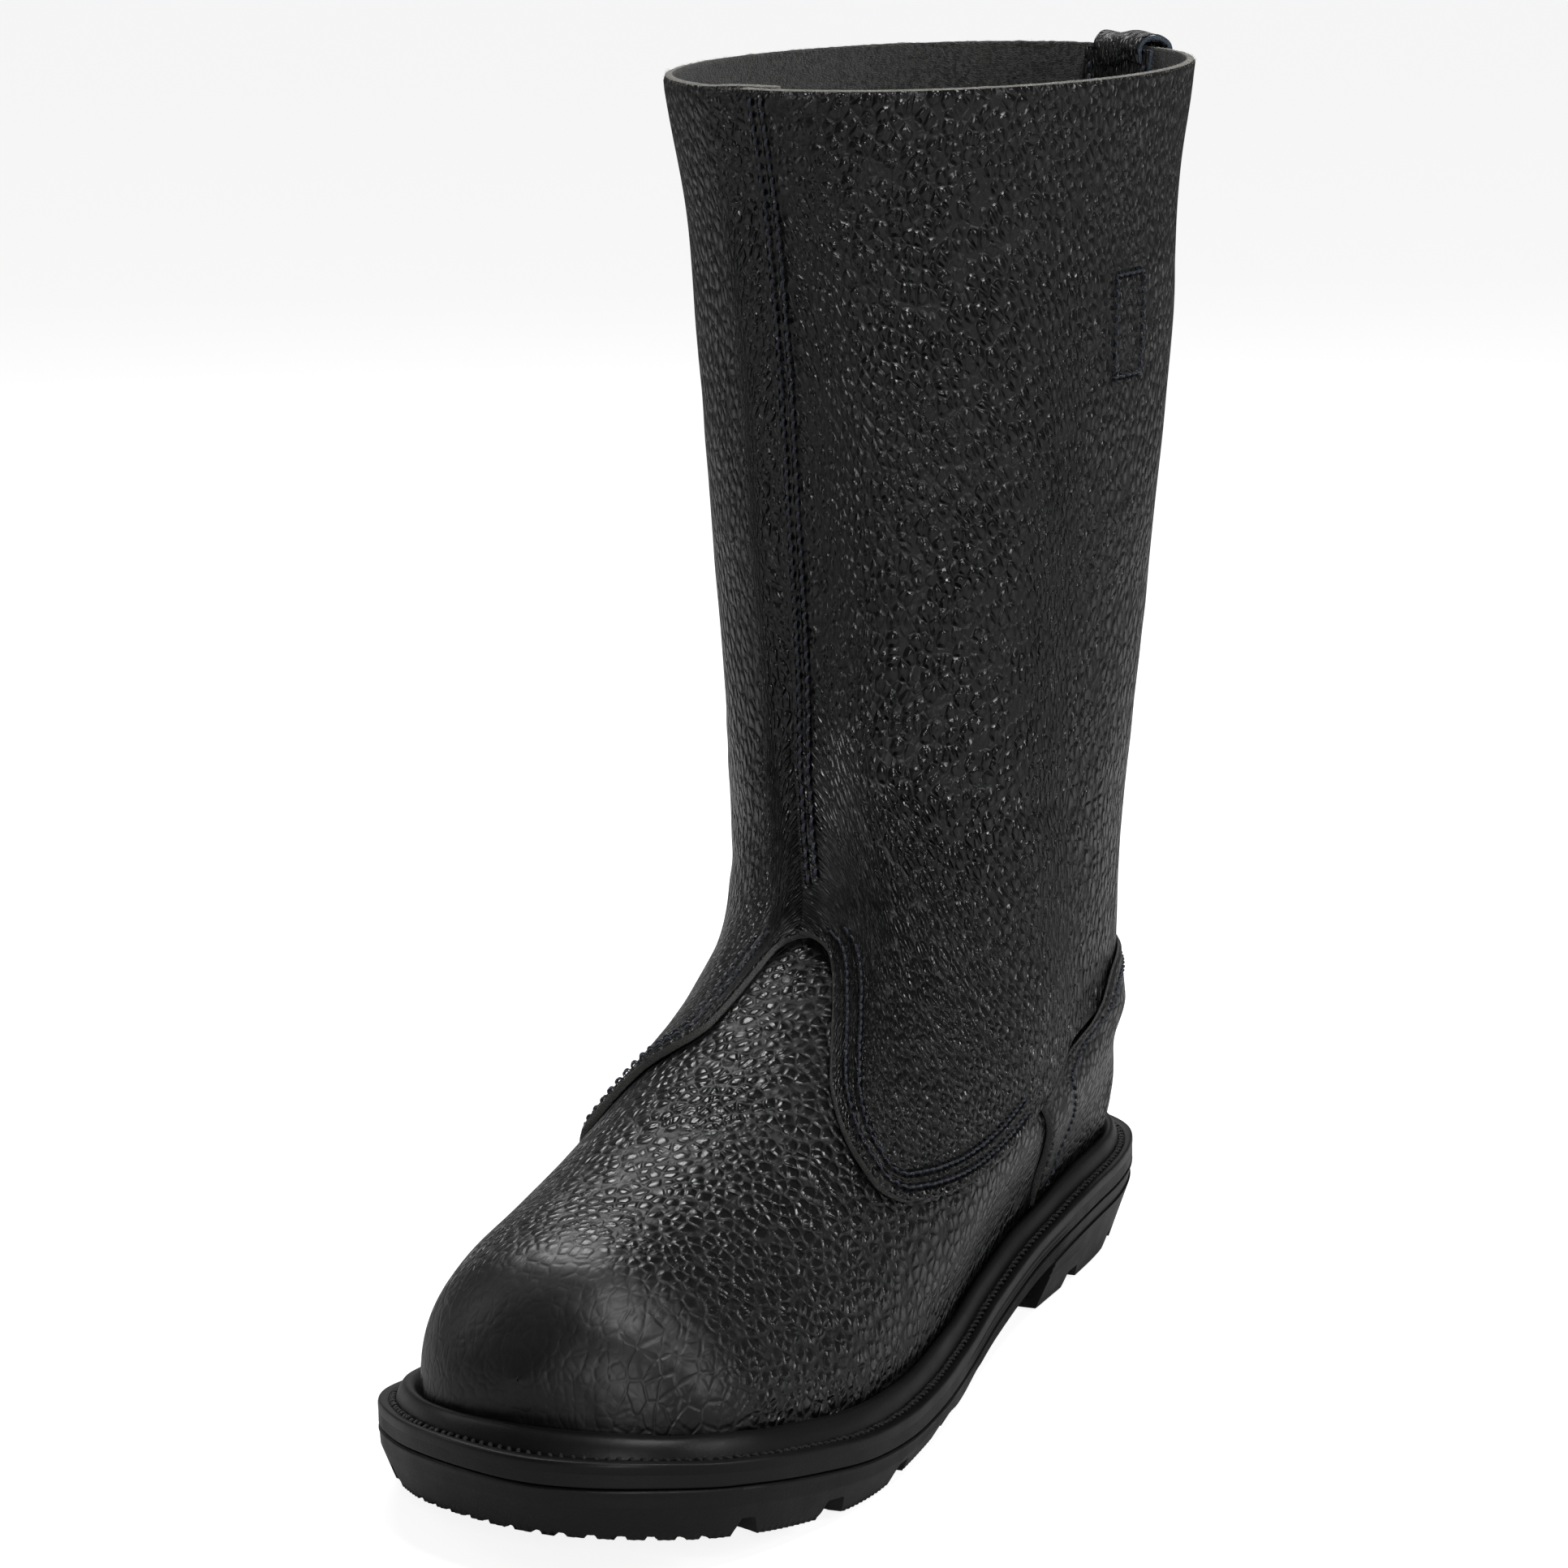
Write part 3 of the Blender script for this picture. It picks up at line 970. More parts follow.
def wall_distance(R, n, h, dd):
    S = np.concatenate([np.arange(9.0, TIP, 0.06), [TIP - 0.01]])
    Hh = np.radians(np.arange(180, 100, -1.5))
    j = feather(9.0, h)
    Hh = Hh[Hh > j]

    def pts(s, p):
        return off(s, p, dd(s, p) if callable(dd) else dd)[:, :2]
    fS, fe = foot_s(Hh, h), feather(S, h)
    C = np.concatenate([pts(fS, Hh), pts(S, fe), pts(S[::-1], -fe[::-1]), pts(fS[::-1], -Hh[::-1])])
    D = np.roll(C, -1, 0) - C
    w = C[None] - R[:, None]
    det = -n[:, 0:1] * D[None, :, 1] + n[:, 1:2] * D[None, :, 0]
    det = np.where(np.abs(det) < 1e-9, 1e-9, det)
    t = (-w[..., 0] * D[None, :, 1] + w[..., 1] * D[None, :, 0]) / det
    uu = (n[:, 0:1] * w[..., 1] - n[:, 1:2] * w[..., 0]) / det
    t = np.where((uu >= -0.001) & (uu <= 1.001) & (t > -2), t, 1e9)
    return t.min(1)


def ring_smooth(D, k, f=None):
    if f is not None:
        return f(np.stack([np.roll(D, j) for j in range(-k, k + 1)]), 0)
    return sum(np.roll(D, j) for j in range(-k, k + 1)) / (2 * k + 1)


# welt
NW = 720
R, Nw = outline(NW)
Wl = np.minimum.reduce([wall_distance(R, Nw, h, outer_wall) for h in (0.7, 2.6, 4.8)])
Wl = np.where(Wl > 30, np.nan, Wl)
if np.isnan(Wl).any():
    x = np.arange(NW)
    ok = ~np.isnan(Wl)
    Wl = np.interp(x, x[ok], Wl[ok], period=NW)
Wl = ring_smooth(ring_smooth(ring_smooth(Wl, 3, np.min), 9), 9) - 0.1
Wl = np.minimum(Wl, np.minimum.reduce([wall_distance(R, Nw, h, outer_wall) for h in (0.7, 2.6)]) + 0.5)
Wl = ring_smooth(Wl, 5)
gft = 0.3 * Wl + 1.2
b = Wl - gft
wave = (noise3(np.stack([R[:, 0], R[:, 1], 0 * R[:, 0]], -1), 14, 41) - 0.5) * 0.25


def cr_points(pts, sub):
    """Catmull-Rom through per-station control points (list of (d, z) arrays)."""
    P = np.stack([np.stack([p[0] + 0 * Wl, p[1] + 0 * Wl], -1) for p in pts], 1)
    P = np.concatenate([2 * P[:, :1] - P[:, 1:2], P, 2 * P[:, -1:] - P[:, -2:-1]], 1)
    out = []
    for i in range(1, P.shape[1] - 2):
        a, q, c, d = P[:, i - 1], P[:, i], P[:, i + 1], P[:, i + 2]
        for u in np.arange(sub) / sub:
            out.append(0.5 * (2 * q + (c - a) * u + (2 * a - 5 * q + 4 * c - d) * u * u + (3 * q - a - 3 * c + d) * u**3))
    out.append(P[:, -2])
    return out


H = BEAD_H + wave
prof = [np.stack([0.06 + 0 * Wl, -WELT_T + 0 * Wl], -1)]
prof += cr_points([(0.03, -WELT_T + 0.3), (0.0, -1.5), (0.02, -0.7), (0.25, -0.18), (0.7, 0.0)], 3)
prof += [np.stack([lerp(0.9, gft - 1.9, t), 0.0 * Wl + 0.05 * math.sin(math.pi * t)], -1) for t in (0.33, 0.66, 1.0)]
prof += cr_points([(gft - 1.65, -0.1), (gft - 1.35, -0.62), (gft - 0.85, -0.85), (gft - 0.3, -0.6), (gft - 0.05, 0.2), (gft + 0.12 * b, 0.52 * H), (gft + 0.3 * b, 0.88 * H), (gft + 0.52 * b, 1.0 * H), (gft + 0.76 * b, 0.93 * H), (Wl, 0.62 * H)], 4)
prof += [np.stack([Wl + 0.9, 0.5 * H], -1), np.stack([Wl + 3.0, 0.12 * H], -1), np.stack([Wl + 3.2, 0 * Wl - WELT_T], -1)]
X = []
for pz in prof:
    xy = R + Nw * pz[:, :1]
    X.append(np.concatenate([xy, (zf(xy[:, 1]) + pz[:, 1])[:, None]], 1))
X = np.stack(X, 1)
m = X.shape[1]
ix = np.arange(NW * m).reshape(NW, m)
q = np.stack([ix, np.roll(ix, -1, 1), np.roll(np.roll(ix, -1, 1), -1, 0), np.roll(ix, -1, 0)], -1).reshape(-1, 4)
ob = build("visual_welt", X.reshape(-1, 3), [q], ["rubber"], [0], sharp=50)
done(ob, "boot", "sole_rubber", "welt")
# welt stitching: slanted loops lying across the groove
rg = np.random.default_rng(5)
cxy = R + Nw * (gft - 0.85)[:, None]
CP = np.concatenate([cxy, (zf(cxy[:, 1]) - 0.35)[:, None]], 1)
CP = np.concatenate([CP, CP[:1]])
ND = np.concatenate([Nw, Nw[:1]])
L = np.concatenate([[0], np.cumsum(np.linalg.norm(np.diff(CP, axis=0), axis=1))])
n = int(L[-1] / 2.45)
V, F = [], []
sides, rings_ = 7, 7
ts, ang = np.linspace(-1, 1, rings_), 2 * np.pi * np.arange(7) / 7
for j in range(n):
    t = (j + 0.5) * L[-1] / n + rg.normal(0, 0.1)
    c = np.array([np.interp(t, L, CP[:, a]) for a in range(3)])
    nd = np.array([np.interp(t, L, ND[:, a]) for a in range(2)] + [0.0])
    nd /= np.linalg.norm(nd)
    up = np.array([0, 0, 1.0])
    tg = np.cross(up, nd)
    ax = nd * 0.8 + tg * (0.6 + rg.normal(0, 0.12)) * (1 if j % 2 else 0.7)
    ax /= np.linalg.norm(ax)
    sd = np.cross(ax, up)
    hl = 1.12 * (1 + rg.normal(0, 0.06))
    q = c + ax * (ts * hl)[:, None] + up * (0.32 - 0.65 * np.abs(ts) ** 2.5 + rg.normal(0, 0.06))[:, None]
    rad = 0.47 * np.sqrt(np.clip(1 - 0.7 * np.abs(ts) ** 4, 0.05, 1)) * (1 + rg.normal(0, 0.06))
    V.append((q[:, None] + (sd[None, None] * np.cos(ang)[None, :, None] + up * np.sin(ang)[None, :, None]) * rad[:, None, None]).reshape(-1, 3))
V = np.concatenate(V)
mm_ = rings_ * sides
o = (np.arange(n) * mm_)[:, None]
qd = np.array([[i * 7 + a, i * 7 + (a + 1) % 7, (i + 1) * 7 + (a + 1) % 7, (i + 1) * 7 + a] for i in range(rings_ - 1) for a in range(7)])
ob = build("welt_stitches", V, [(qd[None] + o[:, :, None]).reshape(-1, 4), np.arange(7)[::-1][None] + o, np.arange(7)[None] + (rings_ - 1) * 7 + o], ["welt_thread"], [0, 0, 0])
done(ob, "boot", "thread", "welt_thread")


# ------------------------------------------------------------------ ladder solids for the sole
def zo(y):
    return zf(y) - WELT_T - MID_T - 0.8


def waist_z(y):
    return zo(y) - SHEET_T


def sole_bottom(y):
    return lerp(waist_z(y), zt(y), smooth((-y - 108) / 17))


def arc_of(R):
    return np.concatenate([[0], np.cumsum(np.linalg.norm(np.diff(R, axis=0), axis=1))])


def ladder(name, R, Nn, wall, top_z, bot_z, rows, M_, mats, slot, node, sharp=35):
    """Plate between z fields with a shaped side wall. wall(tau, y, arc, side) gives the inset at tau 0 (top) to 1 (bottom)."""
    N = len(R)
    h = N // 2
    arc = arc_of(R)
    side = np.sign(R[:, 0])
    V, idx = [], []
    # bottom height at the wall foot, found with the inset there
    zb_full = None
    inset1 = wall(np.ones(N), R[:, 1], arc, side)
    p = R + Nn * inset1[:, None]
    ztop = top_z(p[:, 0], p[:, 1])
    base = bot_z(p[:, 0], p[:, 1], True)
    cut = bot_z(p[:, 0], p[:, 1], False)
    tn = np.clip((ztop - cut) / np.maximum(ztop - base, 1e-6), 0.02, 1)
    rings = []
    for r in range(rows + 1):
        tau = (r / rows) * tn
        ins = wall(tau, R[:, 1], arc, side)
        q = R + Nn * ins[:, None]
        zt_ = top_z(q[:, 0], q[:, 1])
        z = lerp(zt_, zt_ - (ztop - base), tau)
        rings.append(np.concatenate([q, z[:, None]], 1))
    V = [r for r in rings]
    off0 = np.arange(rows + 1) * N
    F, fm = [], []
    a = np.arange(N)
    b_ = (a + 1) % N
    for r in range(rows):
        F.append(np.stack([off0[r] + a, off0[r] + b_, off0[r + 1] + b_, off0[r + 1] + a], -1))
        fm.append(0)
    total = (rows + 1) * N
    for which, ring_i, zfun, mt in ((0, 0, lambda x, y: top_z(x, y), 0), (1, rows, lambda x, y: bot_z(x, y, False), 1)):
        E = rings[ring_i]
        Lf, Rt = E[1:h], E[N - 1:h:-1]
        t = (np.arange(1, M_) / M_)[None, :, None]
        mid = Lf[:, None] * (1 - t) + Rt[:, None] * t
        mid[..., 2] = zfun(mid[..., 0], mid[..., 1])
        # keep the rung ends at the wall's own height, easing within the first cell
        gi = np.arange(mid.shape[0] * mid.shape[1]).reshape(mid.shape[:2]) + total
        total += mid.shape[0] * mid.shape[1]
        V.append(mid.reshape(-1, 3))
        o = ring_i * N
        left, right = (o + np.arange(1, h))[:, None], (o + np.arange(N - 1, h, -1))[:, None]
        row_ = np.concatenate([left, gi, right], 1)
        qd = np.stack([row_[:-1, :-1], row_[:-1, 1:], row_[1:, 1:], row_[1:, :-1]], -1).reshape(-1, 4)
        if which == 0:
            qd = qd[:, ::-1]
        F.append(qd[:, ::-1])
        fm.append(mt)
        for rr, tip in ((row_[0], o + 0), (row_[-1], o + h)):
            tri = np.stack([rr[:-1], rr[1:], np.full(len(rr) - 1, tip)], -1)
            first = tip == o
            if (which == 0) == first:
                tri = tri[:, ::-1]
            F.append(tri[:, ::-1] if which == 0 else tri[:, ::-1])
            fm.append(mt)
    ob = build(name, np.concatenate(V), F, mats, fm, sharp=sharp)
    return done(ob, "boot", slot, *([node] if node else []))


def waist_mask(y):
    return smooth((-y - 34) / 12) * smooth((y + 128) / 14)


def rib(z_like, pitch):
    return 0.5 - 0.5 * np.cos(2 * np.pi * z_like / pitch)


NM = 720
Rm, Nm = outline(NM)
MT = MID_T
ladder("visual_midsole", Rm, Nm,
       lambda tau, y, a, sd: 0.06 + 0.26 * waist_mask(y) * rib(tau * MT, 1.0) + 0.5 * smooth((tau - 0.9) / 0.1),
       lambda x, y: zf(y) - WELT_T - 0.01, lambda x, y, b: zf(y) - WELT_T - 0.15 - (MID_T + 0.35), 14, 30, ["rubber_wall", "rubber_tread"], "sole_rubber", "midsole")


def grooves(segs, x, y, ztf):
    out = np.full(np.shape(x), -99.0)
    for x0, y0, x1, y1, wt, wb, zr in segs:
        dx, dy = x1 - x0, y1 - y0
        l = math.hypot(dx, dy)
        d = np.abs((x - x0) * (-dy / l) + (y - y0) * (dx / l))
        t = ((x - x0) * dx + (y - y0) * dy) / (l * l)
        prof_ = np.clip((wb - d) / (wb - wt), 0, 1)
        end = np.clip(np.minimum(t * l + 0.4, (1 - t) * l + 0.4) / 0.6, 0, 1)
        out = np.maximum(out, np.where(end > 0, ztf - 3 + (zr + 3) * prof_ * np.where(end < 1, end, 1), -99))
    return out


SEG = []
for yy in (-142, -173.5, -206):
    SEG += [(29, yy, 70, yy - 1, 3.0, 6.0, LUG_D), (-29, yy, -70, yy - 1, 3.0, 6.0, LUG_D)]
SEG += [(24.8, -223.3, 60, -243.1, 1.8, 5.1, LUG_D), (-24.8, -223.3, -58, -242, 1.8, 5.1, LUG_D)]
for sx in (1, -1):
    c = [[29, -124], [29, -142], [29, -173.5], [28, -206], [24, -223], [13, -236]]
    for j in range(len(c) - 1):
        SEG.append((sx * c[j][0], c[j][1] + (0.5 if j else 0), sx * c[j + 1][0], c[j + 1][1] - 0.5, 2.0, 2.9, LUG_D))
SEG.append((-14, -236, 14, -236, 2.0, 2.9, LUG_D))
_R, _N = outline(720)
_A = np.concatenate([[0], np.cumsum(np.linalg.norm(np.diff(_R, axis=0), axis=1))])
for _k in range(int(_A[-1] / 6.8)):
    _i = int(np.argmin(np.abs(_A - _k * 6.8)))
    if _R[_i, 1] < -243.5:
        SEG.append((*(_R[_i] + _N[_i] * 9), *(_R[_i] - _N[_i] * 3), 1.0, 2.4, 0.85))
SEG += [(-30, yy, 30, yy, 2.2, 3.4, LUG_D) for yy in (-136, -157.5, -180, -205)]


def outsole_bot(x, y, plain):
    b = sole_bottom(y)
    return b if plain else np.maximum(b, grooves(SEG, x, y, zt(y)))


def outsole_wall(tau, y, arc, sd):
    low = lerp(1.0, 3.4, smooth((-y - 105) / 25))
    w = np.where(tau < 0.35, lerp(0.12, 0.4, tau / 0.35), lerp(0.4, low, (tau - 0.35) / 0.65))
    fore = smooth((-y - 122) / 8)
    w = w + fore * smooth((tau - 0.86) / 0.12) * 0.42 * (0.5 + 0.5 * np.cos(2 * np.pi * arc / 2.0))
    w = w + 0.28 * waist_mask(y) * rib(tau * 4.0, 1.0)
    w = w + 0.4 * smooth((0.03 - tau) / 0.03) - 0.22 * np.exp(-((tau - 0.06) / 0.03) ** 2)
    return w


NO = 1440
Ro, No = outline(NO)
ladder("visual_outsole", Ro, No, outsole_wall, lambda x, y: zo(y), outsole_bot, 26, 110, ["rubber_wall", "rubber_tread"], "sole_rubber", "outsole")

# ------------------------------------------------------------------ heel block
HSEG = []
for y0, w in ((-24.5, 3.4), (10.5, 3.4)):
    HSEG += [(sx * 20, y0, sx * 60, y0, w, w + 3.2, 3.6) for sx in (1, -1)]
HSEG += [(sx * 13, 26, sx * 36, 52, 2.2, 4.0, 3.6) for sx in (1, -1)]
for sx in (1, -1):
    HSEG += [(sx * 20, HEEL_BREAST_Y - 8, sx * 20, 8.6, 1.9, 2.6, 3.6), (sx * 20, 7.4, sx * 13, 27, 1.9, 2.6, 3.6)]
HSEG += [(-14, 26, 14, 26, 1.9, 2.6, 3.6), (-21, -23, 21, -23, 1.9, 2.9, 3.6)]
NH = NO
Rh, Nh = outline(NH)
keep = np.where(Rh[:, 1] > HEEL_BREAST_Y + 0.2)[0]
right_i = keep[keep < NH // 2]
left_i = keep[keep >= NH // 2][::-1]
nr = min(len(right_i), len(left_i) + 1)
# resample both sides from the back centre to the breast, by length
def side_pts(idx_, n):
    Q = np.concatenate([Rh[[0]], Rh[idx_[idx_ != 0]]])
    W = np.concatenate([Nh[[0]], Nh[idx_[idx_ != 0]]])
    last, prev = Q[-1], Q[-2]
    uu = (HEEL_BREAST_Y - last[1]) / (last[1] - prev[1])
    Q = np.concatenate([Q, [last + (last - prev) * uu]])
    W = np.concatenate([W, [W[-1]]])
    L = np.concatenate([[0], np.cumsum(np.linalg.norm(np.diff(Q, axis=0), axis=1))])
    t = np.linspace(0, L[-1], n)
    return np.stack([np.interp(t, L, Q[:, j]) for j in (0, 1)], -1), np.stack([np.interp(t, L, W[:, j]) for j in (0, 1)], -1)


nk = 260
A_p, A_n = side_pts(right_i, nk)
B_p, B_n = side_pts(left_i, nk)
rows = 28


def heel_wall(tau, y):
    w = lerp(0.5, 5.6, tau)
    w = w + 0.5 * smooth((0.10 - tau) / 0.1) * 0
    return w + 0.28 * smooth((-y - 20) / 16) * rib(tau * 12, 1.5) * smooth((0.42 - tau) / 0.1)


def heel_top(x, y):
    return waist_z(y) - 0.12


def ring_side(Pp, Nn, tau):
    ins = heel_wall(tau, Pp[:, 1])
    q = Pp + Nn * ins[:, None]
    last = len(Pp) - 1
    q[last, 1] = HEEL_BREAST_Y - 2.0 * tau[last]
    z = heel_top(q[:, 0], Pp[:, 1]) * (1 - tau)
    return np.concatenate([q, z[:, None]], 1)


def tau_cut(Pp, Nn):
    q = Pp + Nn * 5.6
    cutz = np.maximum(0.0, grooves(HSEG, q[:, 0], q[:, 1], 0 * q[:, 0]))
    return 1 - cutz / heel_top(q[:, 0], Pp[:, 1])


MB = 110
tA, tB = tau_cut(A_p, A_n), tau_cut(B_p, B_n)
VA = [ring_side(A_p, A_n, tA * r / rows) for r in range(rows + 1)]
VB = [ring_side(B_p, B_n, tB * r / rows) for r in range(rows + 1)]
VB = [np.concatenate([a[:1], b[1:]]) for a, b in zip(VA, VB)]
V, F, fm = [], [], []
cnt = 0
ia, ib = [], []
for r in range(rows + 1):
    ia.append(np.arange(nk) + cnt)
    V.append(VA[r])
    cnt += nk
    jb = np.arange(nk) + cnt
    V.append(VB[r])
    cnt += nk
    jb[0] = ia[-1][0]
    ib.append(jb)
ia, ib = np.stack(ia), np.stack(ib)
F.append(np.stack([ia[:-1, :-1], ia[:-1, 1:], ia[1:, 1:], ia[1:, :-1]], -1).reshape(-1, 4))
fm.append(0)
F.append(np.stack([ib[:-1, :-1], ib[1:, :-1], ib[1:, 1:], ib[:-1, 1:]], -1).reshape(-1, 4))
fm.append(0)
t = (np.arange(1, MB) / MB)[None, :, None]
caps = []
for r, zfun, mt in ((0, heel_top, 0), (rows, lambda x, y: np.maximum(0.0, grooves(HSEG, x, y, 0 * x)), 1)):
    mid = VA[r][1:, None] * (1 - t) + VB[r][1:, None] * t
    mid[..., 2] = zfun(mid[..., 0], mid[..., 1])
    gi = np.arange(mid.shape[0] * mid.shape[1]).reshape(mid.shape[:2]) + cnt
    cnt += gi.size
    V.append(mid.reshape(-1, 3))
    row_ = np.concatenate([ia[r][1:, None], gi, ib[r][1:, None]], 1)
    caps.append(row_)
    qd = np.stack([row_[:-1, :-1], row_[:-1, 1:], row_[1:, 1:], row_[1:, :-1]], -1).reshape(-1, 4)
    tri = np.stack([row_[0, :-1], np.full(MB, ia[r][0]), row_[0, 1:]], -1)
    if r == 0:
        F += [qd, tri]
    else:
        F += [qd[:, ::-1], tri[:, ::-1]]
    fm += [mt, mt]
# breast wall with fine chevron ribs
top_r, bot_r = caps[0][-1], caps[1][-1]
allV = np.concatenate(V)
nb_rows = 40
grid = [top_r]
lastA, lastB = ia[:, -1], ib[:, -1]
rowsI = []
Tt, Bt = allV[top_r], allV[bot_r]
for r in range(1, rows):
    tt = r / rows
    P = Tt * (1 - tt) + Bt * tt
    x, z = P[:, 0], P[:, 2]
    edge = smooth((np.minimum(np.arange(MB + 1), MB - np.arange(MB + 1)) - 0.5) / 5.0) * min(1, 6 * tt, 6 * (1 - tt))
    P[:, 1] += 0.34 * rib(z + 0.07 * np.abs(x), 1.15) * edge
    idx_row = np.arange(MB - 1) + cnt
    cnt += MB - 1
    V.append(P[1:-1])
    grid.append(np.concatenate([[lastA[r]], idx_row, [lastB[r]]]))
grid.append(bot_r)
grid = np.stack(grid)
F.append(np.stack([grid[:-1, :-1], grid[:-1, 1:], grid[1:, 1:], grid[1:, :-1]], -1).reshape(-1, 4))
fm.append(0)
ob = build("visual_heel_block", np.concatenate(V), F, ["rubber_wall", "rubber_tread"], fm, sharp=35)
done(ob, "boot", "sole_rubber", "heel_block")

# ------------------------------------------------------------------ pull tab: one strap from the stay, over the rim, ending inside
def slab(name, C, NR, th, half, nx, mats, gseed, warp=None, edge=0.35):
    """Strap swept across x along a centre line C with side normals NR."""
    n = len(C)
    xs = np.linspace(-half, half, nx)
    V = []
    for sg in (1, -1):
        for x in xs:
            e = np.clip(1 - (half - abs(x)) / edge, 0, 1)
            tt = th / 2 * (1 - 0.45 * (1 - math.sqrt(max(0, 1 - e * e))))
            P = C + NR * (sg * tt)
            P = np.concatenate([np.full((n, 1), x), P], 1)
            V.append(P)
    V = np.stack(V).reshape(2, nx, n, 3)
    if warp is not None:
        V = warp(V)
    idx = np.arange(2 * nx * n).reshape(2, nx, n)
    a, b2 = idx[0], idx[1]

    def qd(i):
        return np.stack([i[:-1, :-1], i[:-1, 1:], i[1:, 1:], i[1:, :-1]], -1).reshape(-1, 4)
    lo = np.concatenate([a[0], a[1:, -1], a[-1, -2::-1], a[-2:0:-1, 0]])
    li = np.concatenate([b2[0], b2[1:, -1], b2[-1, -2::-1], b2[-2:0:-1, 0]])
    F = [qd(a)[:, ::-1], qd(b2), np.stack([lo, np.roll(lo, -1), np.roll(li, -1), li], -1)]
    arc = np.concatenate([[0], np.cumsum(np.linalg.norm(np.diff(C, axis=0), axis=1))])
    gr = np.stack([np.broadcast_to(xs[None, :, None], (2, nx, n)) + gseed, np.broadcast_to(arc[None, None], (2, nx, n)) + 50, np.zeros((2, nx, n))], -1).reshape(-1, 3)
    one = np.ones(2 * nx * n)
    at = {"GR": gr, "AMP": one * 0.9, "WRK": one * 0.6, "ST": one * 9, "RGH": one * 0}
    return build(name, V.reshape(-1, 3), F, mats, [0, 0, 1], at)


TAB_W = 20.0
PB = float(back_seam(np.array([0.0]))[0])
_q = surf(np.zeros(2), np.array([PB + 0.01, PB - 0.01]))
RHO = float(np.linalg.norm(_q[0] - _q[1]) / 0.02)


def level_normal(a):
    n = normal(np.zeros_like(a), a)[..., :2]
    return n / np.linalg.norm(n, axis=-1, keepdims=True)


def place(x, y, z):
    """Strap frame (across, outward, up) to the boot frame, following the curved rim at the back seam."""
    a = PB - x / RHO
    q = surf(np.zeros_like(a), a)[..., :2] + level_normal(a) * (y - 66.0)[..., None]
    return np.concatenate([q, z[..., None]], -1)


sb = np.linspace(1.45, 0.12, 60)
_b = off(sb, back_seam(sb), 3.4)
_p0, _n0 = surf(np.zeros(1), np.array([PB]))[0, :2], level_normal(np.array([PB]))[0]
base_c = np.stack([66.0 + (_b[:, :2] - _p0) @ _n0, _b[:, 2]], -1)
yo = 69.5
arcA = np.radians(np.linspace(4, 176, 40))
crest = np.stack([yo - 4.5 + 4.5 * np.cos(arcA), RIM_Z - 0.5 + 3.3 * np.sin(arcA)], -1)
tail = np.stack([np.linspace(yo - 9.02, yo - 8.95, 8), np.linspace(RIM_Z - 0.8, RIM_Z - 3.6, 8)], -1)
C = np.concatenate([base_c, [[yo, RIM_Z - 1.8], [yo, RIM_Z - 0.9]], crest, tail])
LC = np.concatenate([[0], np.cumsum(np.linalg.norm(np.diff(C, axis=0), axis=1))])
tt = np.linspace(0, LC[-1], 150)
C = np.stack([np.interp(tt, LC, C[:, j]) for j in (0, 1)], -1)
for _ in range(3):
    C[1:-1] = (C[:-2] + 2 * C[1:-1] + C[2:]) / 4
tg = np.gradient(C, axis=0)
tg /= np.linalg.norm(tg, axis=1, keepdims=True)
NRM = np.stack([tg[:, 1], -tg[:, 0]], -1)


def tab_warp(V):
    x = V[..., 0]
    frac = np.broadcast_to(np.linspace(0, 1, V.shape[2]), x.shape)
    fold = smooth((frac - 0.62) / 0.2)
    crump = (noise3(np.stack([x * 0.7, V[..., 2] * 1.0, V[..., 1]], -1), 3.0, 77) - 0.5)
    V[..., 2] += fold * (0.55 * crump + 0.35 * np.sin(x * 0.42 + 0.8))
    tail_ = smooth((frac - 0.9) / 0.1)
    V[..., 2] += tail_ * (0.8 * np.sin(x * 0.33 - 0.6) - 0.3)
    V[..., 1] += -tail_ * 0.5 * np.cos(x * 0.3)
    return place(V[..., 0], V[..., 1], V[..., 2])


ob = slab("visual_pull_tab", C, NRM, 1.7, TAB_W / 2, 49, ["strap", "edge_strap"], 50.0, tab_warp)
_h = place(np.zeros(1), np.array([yo]), np.array([294.5]))[0] / 1000
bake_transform(ob)
done(ob, None, "strap_leather", "pull_tab", "pull_tab_base")
sr = np.linspace(0.35, 1.38, 60)
for j, x in enumerate((-8.3, 8.3)):
    zz = np.interp(sr, sb[::-1], base_c[::-1, 1])
    yy = np.interp(sr, sb[::-1], base_c[::-1, 0]) + 0.85
    xx = np.full(60, x)
    nn_ = np.concatenate([level_normal(PB - xx / RHO), np.zeros((60, 1))], -1)
    ob = stitches(f"tab_base_stitches_{j + 1}", place(xx, yy, zz), nn_, seed=81 + j, pitch=2.8, length=2.0, r=0.36)
    done(ob, "boot", "thread")

# loose fibres along the cut rim
rg = np.random.default_rng(12)
NF = 1700
ph = rg.uniform(-math.pi, math.pi, NF)
base = off(np.full(NF, 0.004), ph, -rg.uniform(0.1, T - 0.1, NF))
base[:, 2] -= 0.35
dr = rg.normal(0, 1, (NF, 3)) * np.array([0.7, 0.7, 0.25]) + np.array([0, 0, 0.75])
dr /= np.linalg.norm(dr, axis=1, keepdims=True)
tip = base + dr * (0.5 + 0.7 * rg.random(NF) ** 2 + 0.2)[:, None]
sa = np.cross(dr, np.array([0.31, 0.95, 0.05]))
sa /= np.linalg.norm(sa, axis=1, keepdims=True)
sc = np.cross(dr, sa)
rr_ = 0.05 + 0.035 * rg.random(NF)
ring = [base + (sa * math.cos(a_) + sc * math.sin(a_)) * rr_[:, None] for a_ in (0, 2.0944, 4.18879)]
V = np.stack(ring + [tip], 1).reshape(-1, 3)
o = 4 * np.arange(NF)[:, None]
